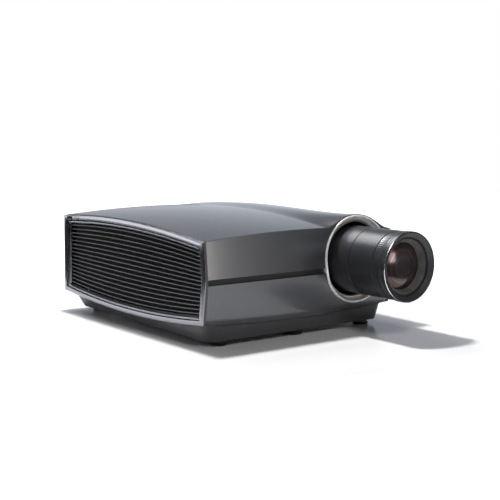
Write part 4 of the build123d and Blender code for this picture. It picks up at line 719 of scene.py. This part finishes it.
def side_loop(inset):
    """Points (y, z) round the side outline moved inwards by inset, with their share of the face's fall."""

    def top(y):
        return crown_height(HALF_WIDTH, y) - inset

    def bottom(y):
        return belly_height(HALF_WIDTH, y) + inset

    top_y = bottom_y = FRONT_Y + inset
    for _ in range(SETTLING_ROUNDS):
        top_y = lean_y(top(top_y)) + inset
        bottom_y = lean_y(bottom(bottom_y)) + inset
    back_y = BACK_Y - inset
    loop = [(y, top(y), 1) for y in spaced(top_y, back_y, LOOP_STEPS)[:-1]]
    loop += [(back_y, z, BACK_FALL) for z in spaced(top(back_y), bottom(back_y), BACK_STEPS)]
    loop += [(y, bottom(y), 1) for y in spaced(back_y, bottom_y, LOOP_STEPS)[1:]]
    front_heights = (bottom(bottom_y), GROOVE_BOTTOM, GROOVE_TOP, top(top_y))
    for low, high in zip(front_heights, front_heights[1:]):
        loop += [(lean_y(z) + inset, z, 1) for z in spaced(low, high, FRONT_STEPS)[1:]]
    return loop[:-1]


def swept(name, node, sign, profile):
    """Sweeps a closed profile of (inset, sink, fall) points round the side outline."""

    def build(form):
        rows = []
        for inset, sink, fall in profile:
            places = [(sign * (HALF_WIDTH - sink - fall * share), y, z) for y, z, share in side_loop(inset)]
            rows.append([form.verts.new(place) for place in places])
        grid_faces(form, rows, closed_rows=True, closed_columns=True)

    piece(name, mesh_from(name, build), node, smooth_angle=30)


def frame_fall(inset):
    """How far the frame's face has fallen back at an inset from its outer edge."""
    return FRAME_FALL * (1 - inset / FRAME_BAND) ** 2


frame_profile = [(0, FRAME_DEPTH, 0), (0, MM, FRAME_FALL), (0.2 * MM, 0.6 * MM, frame_fall(0.2 * MM))]
for inset_mm in (0.7, 1.5, 2.5, 4, 5.5, 7, 8.5, 9.5):
    frame_profile.append((inset_mm * MM, FRAME_SINK, frame_fall(inset_mm * MM)))
frame_profile += [(9.9 * MM, 0.5 * MM, 0), (FRAME_BAND, 0.9 * MM, 0), (FRAME_BAND, FRAME_DEPTH, 0)]
SEAL_PROUD = 0.1 * MM
SEAL_INSET = 3.4 * MM


def frame_seal(name, node, sign):
    """A dark strip on the front edge of the frame, where it meets the front face."""

    def build(form):
        rows = []
        near, far = sign * (HALF_WIDTH - SEAL_INSET), sign * (HALF_WIDTH - FRAME_DEPTH)
        loop = side_loop(0)
        for y, z, _ in loop[2 * LOOP_STEPS + BACK_STEPS:] + loop[:1]:
            front, back = y - SEAL_PROUD, y + MM
            ring = [(near, front, z), (far, front, z), (far, back, z), (near, back, z)]
            rows.append([form.verts.new(point) for point in ring])
        capped_bar(form, rows)

    piece(name, mesh_from(name, build), node, details["seal_grey"], stands_for=False)


BEZEL_OUTER = 11.2 * MM
BEZEL_BACK = 11 * MM
bezel_profile = [
    (BEZEL_OUTER, BEZEL_BACK, 0),
    (BEZEL_OUTER, 3.0 * MM, 0),
    (BEZEL_OUTER + 0.4 * MM, 2.55 * MM, 0),
    (13.6 * MM, 2.5 * MM, 0),
    (14.6 * MM, 2.9 * MM, 0),
    (16.4 * MM, 4.6 * MM, 0),
    (OPENING_INSET - 0.3 * MM, 6.7 * MM, 0),
    (OPENING_INSET, 7.2 * MM, 0),
    (OPENING_INSET, BEZEL_BACK, 0),
]
for side, sign in (("left", -1), ("right", 1)):
    louvres(side, sign)
    swept("side_frame_" + side + "_band", "side_frame_" + side, sign, frame_profile)
    swept("grille_bezel_" + side + "_band", "grille_bezel_" + side, sign, bezel_profile)
    frame_seal("side_frame_" + side + "_seal", "side_frame_" + side, sign)

INLAY_STEPS = 6
INLAY_PROUD = 0.15 * MM


def on_left_frame(y, z):
    """A point just proud of the left frame's upper band."""
    fall = frame_fall(crown_height(HALF_WIDTH, y) - z)
    return Vector((-HALF_WIDTH + FRAME_SINK + fall - INLAY_PROUD, y, z))


def frame_inlay(name, node, places):
    """Thin inlays that follow the left frame's face: middle y, middle z, length and height of each."""

    def build(form):
        for middle_y, middle_z, length, height in places:
            rows = []
            for y in spaced(middle_y - length / 2, middle_y + length / 2, INLAY_STEPS):
                levels = spaced(middle_z - height / 2, middle_z + height / 2, INLAY_STEPS)
                outer = [on_left_frame(y, z) for z in levels]
                ring = outer + [point + Vector((MM, 0, 0)) for point in reversed(outer)]
                rows.append([form.verts.new(point) for point in ring])
            capped_bar(form, rows)

    piece(name, mesh_from(name, build), node, smooth_angle=40)


window_low, window_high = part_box("status_window")
middle, size = (window_low + window_high) / 2, window_high - window_low
frame_inlay("status_window_inlay", "status_window", [(middle.y, middle.z, size.y, size.z)])
lights_low, lights_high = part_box("indicator_lights")
LIGHT_WIDTH = 1.5 * MM
light_places = []
for y in spaced(lights_low.y + LIGHT_WIDTH / 2, lights_high.y - LIGHT_WIDTH / 2, 2):
    light_places.append((y, (lights_low.z + lights_high.z) / 2, LIGHT_WIDTH, lights_high.z - lights_low.z))
frame_inlay("indicator_lights_inlay", "indicator_lights", light_places)

# ------------------------------------------------------------------ lens
RIM_CHAMFER = 0.9 * MM
CONE_BACK_Y = RIM_Y + 8 * MM
CONE_R = 58 * MM
HOOD_BORE_R = 62.4 * MM
FINE = 256
hood_outline = [
    (HOOD_BACK_Y, HOOD_R - 0.4 * MM),
    (HOOD_BACK_Y - 0.4 * MM, HOOD_R),
    (HOOD_BACK_Y - 2.0 * MM, HOOD_R),
    (HOOD_BACK_Y - 2.3 * MM, HOOD_R - 0.4 * MM),
    (HOOD_BACK_Y - 2.9 * MM, HOOD_R - 0.4 * MM),
    (HOOD_BACK_Y - 3.2 * MM, HOOD_R),
    (RIM_Y + RIM_CHAMFER + 0.3 * MM, HOOD_R),
    (RIM_Y + RIM_CHAMFER + 0.2 * MM, HOOD_R - 0.3 * MM),
    (RIM_Y + 0.3 * MM, HOOD_R - RIM_CHAMFER - 0.3 * MM),
    (RIM_Y + 0.3 * MM, HOOD_R - 2.6 * MM),
    (RIM_Y + 1.1 * MM, HOOD_R - 3.3 * MM),
    (CONE_BACK_Y - 0.6 * MM, CONE_R),
    (CONE_BACK_Y, CONE_R - 0.2 * MM),
    (CONE_BACK_Y + 2 * MM, CONE_R - 0.2 * MM),
    (CONE_BACK_Y + 2 * MM, CONE_R + 2 * MM),
    (HOOD_BACK_Y, HOOD_BORE_R),
]
turned("lens_hood_shell", hood_outline, "lens_hood", FINE, smooth_angle=25)
rim_outline = [
    (RIM_Y + RIM_CHAMFER + 0.25 * MM, HOOD_R - 0.02 * MM),
    (RIM_Y + 0.15 * MM, HOOD_R - RIM_CHAMFER + 0.1 * MM),
    (RIM_Y, HOOD_R - RIM_CHAMFER - 0.2 * MM),
    (RIM_Y + 0.6 * MM, HOOD_R - RIM_CHAMFER - 0.5 * MM),
    (RIM_Y + RIM_CHAMFER + 0.3 * MM, HOOD_R - 0.5 * MM),
]
cone_outline = [
    (RIM_Y + 0.7 * MM, HOOD_R - 2.9 * MM),
    (RIM_Y + 0.9 * MM, HOOD_R - 3.4 * MM),
    (CONE_BACK_Y - 0.9 * MM, CONE_R),
    (CONE_BACK_Y - 0.5 * MM, CONE_R + 0.6 * MM),
]
turned("lens_hood_cone", cone_outline, "lens_hood", FINE,
       material=details["cone_grey"], smooth_angle=50, stands_for=False)
turned("lens_hood_rim", rim_outline, "lens_hood", FINE,
       material=details["rim_silver"], smooth_angle=60, stands_for=False)

RETAINER_BACK_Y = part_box("front_retainer")[1].y
RETAINER_R = 53.6 * MM
BAFFLE_STEPS = 5
BAFFLE_FRONT_Y = CONE_BACK_Y + 2.2 * MM
retainer_outline = [(RETAINER_BACK_Y, BAFFLE_R), (RETAINER_BACK_Y, RETAINER_R)]
retainer_outline.append((BAFFLE_FRONT_Y, RETAINER_R))
step_radii = spaced(RETAINER_R - MM, BAFFLE_R, BAFFLE_STEPS)
step_places = spaced(BAFFLE_FRONT_Y, RETAINER_BACK_Y - MM, BAFFLE_STEPS)
for step_y, step_r, next_y, next_r in zip(step_places, step_radii, step_places[1:], step_radii[1:]):
    retainer_outline += [(step_y, step_r), (next_y - 0.5 * MM, step_r - 0.3 * MM)]
    retainer_outline.append((next_y - 0.3 * MM, next_r))
turned("front_retainer_baffle", retainer_outline, "front_retainer", FINE,
       material=details["baffle_painted_lit"], smooth_angle=25)

AXIS_R = 0.01 * MM


def dome_outline(front_y, edge_r, sphere_r, back_y, steps=24):
    """A round glass with a convex front, from its middle to its edge."""
    outline = []
    for r in spaced(0, edge_r, steps):
        outline.append((front_y + sphere_r - math.sqrt(sphere_r**2 - r**2), max(r, AXIS_R)))
    return outline + [(back_y, edge_r), (back_y, AXIS_R)]


GLASS_FRONT_Y, GLASS_BACK_Y = (corner.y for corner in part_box("front_glass"))
GLASS_R = radius_of("front_glass")
GLASS_SPHERE_R = 150 * MM
dome = dome_outline(GLASS_FRONT_Y + 0.2 * MM, GLASS_R, GLASS_SPHERE_R, GLASS_BACK_Y)
turned("front_glass_element", dome, "front_glass", material=details["element_purple_painted_rings"], smooth_angle=40)

GROOVE_HALF = 0.75 * MM
GROOVE_DEPTH = 1.6 * MM
KNURL_COUNT = 90
KNURL_DEPTH = 0.2 * MM
KNURL_MARGIN = 3 * MM


def section_ends(front_y, back_y):
    """Outer line of one barrel section between the grooves that part it from its neighbours."""
    line = [(front_y, BARREL_R - GROOVE_DEPTH), (front_y + 0.6 * GROOVE_HALF, BARREL_R - 0.5 * GROOVE_HALF)]
    line += [(front_y + GROOVE_HALF, BARREL_R), (back_y - GROOVE_HALF, BARREL_R)]
    line += [(back_y - 0.6 * GROOVE_HALF, BARREL_R - 0.5 * GROOVE_HALF), (back_y, BARREL_R - GROOVE_DEPTH)]
    return line


SLEEVE_R = 62.05 * MM
focus_low, focus_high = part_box("focus_ring")


def knurled(angle):
    """The focus ring's section, its middle ribbed along the lens axis."""
    front_y, back_y = focus_low.y, focus_high.y
    line = section_ends(front_y, back_y)
    rib_r = BARREL_R - KNURL_DEPTH * (0.5 + 0.5 * math.cos(KNURL_COUNT * angle))
    ribs = [(front_y + KNURL_MARGIN, BARREL_R), (front_y + 1.1 * KNURL_MARGIN, rib_r)]
    ribs += [(back_y - 1.1 * KNURL_MARGIN, rib_r), (back_y - KNURL_MARGIN, BARREL_R)]
    return line[:3] + ribs + line[3:] + [(back_y, SLEEVE_R), (front_y, SLEEVE_R)]


zoom_low, zoom_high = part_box("zoom_ring")
zoom_outline = section_ends(zoom_low.y, zoom_high.y) + [(zoom_high.y, SLEEVE_R), (zoom_low.y, SLEEVE_R)]
turned("zoom_ring_grip", zoom_outline, "zoom_ring", FINE, smooth_angle=25)
turned("focus_ring_grip", knurled, "focus_ring", 8 * KNURL_COUNT, smooth_angle=60)

ZOOM_BACK_Y = zoom_high.y + 0.3 * MM
BARREL_BACK_Y = -150 * MM
barrel_low, barrel_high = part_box("lens_barrel")
NOSE_BORE_R = 54 * MM
NOSE_BORE_BACK_Y = -118 * MM
NOSE_R = 61.95 * MM
NECK_R = 60.2 * MM
FLANGE_R = 64 * MM
FLANGE_BACK_Y = -103.7 * MM
FLANGE_FRONT_Y = -110 * MM
REAR_TUBE_R = 45 * MM
BORE_R = 38 * MM
BORE_FRONT_Y = -112 * MM
barrel_outline = [(barrel_low.y, NOSE_BORE_R), (barrel_low.y, NOSE_R), (ZOOM_BACK_Y, NOSE_R)]
barrel_outline += section_ends(ZOOM_BACK_Y, BARREL_BACK_Y)
barrel_outline += [(BARREL_BACK_Y, NECK_R), (FLANGE_FRONT_Y, NECK_R), (FLANGE_FRONT_Y, FLANGE_R)]
barrel_outline += [(FLANGE_BACK_Y, FLANGE_R), (FLANGE_BACK_Y, REAR_TUBE_R), (barrel_high.y, REAR_TUBE_R)]
barrel_outline += [(barrel_high.y, BORE_R), (BORE_FRONT_Y, BORE_R), (NOSE_BORE_BACK_Y, NOSE_BORE_R)]
turned("lens_barrel_tube", barrel_outline, "lens_barrel", FINE, smooth_angle=25)

# ------------------------------------------------------------------ base, feet and rear
REAR_DETAILS = (
    "connector_plate", "keypad_plate", "power_inlet", "switch_frame", "power_rocker", "power_button",
    "source_button", "menu_button", "enter_button", "signal_sockets", "network_sockets", "case_screws",
)
bevelled_copy("base_tray", 1.0 * MM, 3)
bevelled_copy("rear_panel", 0.5 * MM)
for node in ("fixed_feet", "foot_sole_left", "foot_sole_right", "foot_stem_left", "foot_stem_right"):
    bevelled_copy(node, 0.4 * MM)
for node in REAR_DETAILS:
    bevelled_copy(node, 0.2 * MM)

# ------------------------------------------------------------------ floor, light and camera
scene = bpy.context.scene
CAMERA_PLACE = Vector((-1.3758, -1.7794, 0.4278))
FLOOR_CENTRE = Vector((0.9, 0.9, 0))
FLOOR_R = 2.45
WEDGE_FROM, WEDGE_TO = math.radians(22), math.radians(54)
WEDGE_NEAR, WEDGE_FAR = 1.05, 6.0
WEDGE_Z = -0.4 * MM
WEDGE_STEPS = 24
OUTER_Z = -0.8 * MM
OUTER_STEPS = 128
outer_points = []
for turn in spaced(0, 2 * math.pi, OUTER_STEPS)[:-1]:
    reach = Vector((FLOOR_R * math.cos(turn), FLOOR_R * math.sin(turn), OUTER_Z))
    outer_points.append(FLOOR_CENTRE + reach)
turns = spaced(WEDGE_FROM, WEDGE_TO, WEDGE_STEPS)
wedge_points = []
for reach, turn in [(WEDGE_NEAR, turn) for turn in reversed(turns)] + [(WEDGE_FAR, turn) for turn in turns]:
    spot = CAMERA_PLACE + reach * Vector((math.sin(turn), math.cos(turn), 0))
    wedge_points.append(Vector((spot.x, spot.y, WEDGE_Z)))

pale = Shader("floor_white")
pale.set(Base_Color=(0.86, 0.86, 0.86, 1), Roughness=0.22, Specular_IOR_Level=0.35)
distance = pale.node("ShaderNodeVectorMath", operation="LENGTH")
pale.link(pale.place, distance.inputs[0])
far_glow = pale.node("ShaderNodeMapRange")
far_glow.inputs["From Min"].default_value = 0.5
far_glow.inputs["From Max"].default_value = 1.05
pale.link(distance.outputs["Value"], far_glow.inputs["Value"])
pale.link(far_glow.outputs["Result"], pale.bsdf.inputs["Emission Strength"])
pale.set(Emission_Color=(1, 1, 1, 1))


def floor_sheet(name, points):
    """One flat face of the pale floor."""
    form = bmesh.new()
    form.faces.new([form.verts.new(point) for point in points])
    form.normal_update()
    mesh = bpy.data.meshes.new(name)
    form.to_mesh(mesh)
    form.free()
    mesh.materials.append(pale.material)
    made = bpy.data.objects.new(name, mesh)
    scene.collection.objects.link(made)
    return made


# Only the floor in the camera's view shows in reflections, so that the case's side faces stay dark.
floor_sheet("floor_near", wedge_points)
floor_sheet("floor_outer", outer_points).visible_glossy = False

world = bpy.data.worlds.new("studio")
scene.world = world
world.use_nodes = True
sky = world.node_tree
direction = sky.nodes.new("ShaderNodeTexCoord")
split = sky.nodes.new("ShaderNodeSeparateXYZ")
sky.links.new(direction.outputs["Generated"], split.inputs["Vector"])


def sky_share(axis, from_low, from_high, to_low):
    """A value that rises from to_low to 1 as the looking direction's component goes from low to high."""
    share = sky.nodes.new("ShaderNodeMapRange")
    share.inputs["From Min"].default_value = from_low
    share.inputs["From Max"].default_value = from_high
    share.inputs["To Min"].default_value = to_low
    sky.links.new(split.outputs[axis], share.inputs["Value"])
    return share.outputs["Result"]


def sky_mix(factor, first, second, blend_type="MIX"):
    """A colour mix; each argument is a socket or a constant."""
    mix = sky.nodes.new("ShaderNodeMix")
    mix.data_type = "RGBA"
    mix.blend_type = blend_type
    for name, value in (("Factor", factor), ("A", first), ("B", second)):
        if isinstance(value, bpy.types.NodeSocket):
            sky.links.new(value, mix.inputs[name])
        else:
            mix.inputs[name].default_value = value
    return mix.outputs["Result"]


height_ramp = sky.nodes.new("ShaderNodeValToRGB")
horizon, zenith = height_ramp.color_ramp.elements
horizon.position, horizon.color = 0.0, (0.85, 0.90, 1.0, 1)
zenith.position, zenith.color = 0.5, (0.13, 0.14, 0.16, 1)
sky.links.new(split.outputs["Z"], height_ramp.inputs["Fac"])
dark_front = (0.03, 0.032, 0.038, 1)
shade = sky_mix(sky_share("Y", -0.35, 0.75, 0.12), dark_front, height_ramp.outputs["Color"])
right_and_above = sky.nodes.new("ShaderNodeMath")
right_and_above.operation = "MULTIPLY"
sky.links.new(sky_share("X", 0.42, 0.63, 0.45), right_and_above.inputs[0])
sky.links.new(sky_share("Z", -0.03, 0.01, 0.04), right_and_above.inputs[1])
surroundings = sky_mix(1.0, shade, right_and_above.outputs["Value"], "MULTIPLY")
ray = sky.nodes.new("ShaderNodeLightPath")
backdrop = sky_mix(ray.outputs["Is Camera Ray"], surroundings, (1, 1, 1, 1))
sky.links.new(backdrop, sky.nodes["Background"].inputs["Color"])


def area_light(name, place, target, size, power, colour=(1, 1, 1)):
    """A rectangular light that faces its target and that the camera doesn't see."""
    data = bpy.data.lights.new(name, "AREA")
    data.shape = "RECTANGLE"
    data.size, data.size_y = size
    data.energy = power
    data.color = colour
    light = bpy.data.objects.new(name, data)
    scene.collection.objects.link(light)
    light.location = place
    light.rotation_mode = "QUATERNION"
    light.rotation_quaternion = (Vector(target) - Vector(place)).to_track_quat("-Z", "Y")
    light.visible_camera = False


area_light("key_overhead", (-0.12, 0.343, 1.6), (0, 0, 0), (0.14, 0.14), 38)
area_light("back_softbox", (0.1, 1.45, 2.1), (0.1, -0.1, 0.2), (1.5, 0.7), 20)
area_light("left_softbox", (-1.75, 1.85, 0.6), (-0.2, 0.1, 0.15), (1.5, 0.7), 9)
area_light("front_fill", (-0.6, -1.9, 1.9), (0, 0, 0.1), (0.7, 0.7), 17)
area_light("front_card", (0.80, -1.9, 0.3), (0, -0.2, 0.15), (0.36, 0.4), 2.4, (1, 0.95, 0.9))
area_light("lens_strip", (0.24, -2.1, 0.22), (0.143, -0.3, 0.14), (0.12, 0.3), 0.8, (1, 0.66, 0.48))

CAMERA_YAW = math.radians(37.987)
CAMERA_PITCH = math.radians(7.024)
CAMERA_ROLL = math.radians(0.477)
LENS_MM = 78.2
SENSOR_MM = 36

forward = Vector((
    math.sin(CAMERA_YAW) * math.cos(CAMERA_PITCH),
    math.cos(CAMERA_YAW) * math.cos(CAMERA_PITCH),
    -math.sin(CAMERA_PITCH),
))
level = Vector((math.cos(CAMERA_YAW), -math.sin(CAMERA_YAW), 0))
upward = level.cross(forward)
right = level * math.cos(CAMERA_ROLL) + upward * math.sin(CAMERA_ROLL)
above = upward * math.cos(CAMERA_ROLL) - level * math.sin(CAMERA_ROLL)
camera_data = bpy.data.cameras.new("camera")
camera_data.lens = LENS_MM
camera_data.sensor_width = SENSOR_MM
camera_data.clip_start, camera_data.clip_end = 0.05, 50
camera = bpy.data.objects.new("camera", camera_data)
scene.collection.objects.link(camera)
camera_turn = Matrix((right, above, -forward)).transposed().to_4x4()
camera.matrix_world = Matrix.Translation(CAMERA_PLACE) @ camera_turn
scene.camera = camera
scene.view_settings.view_transform = "Standard"
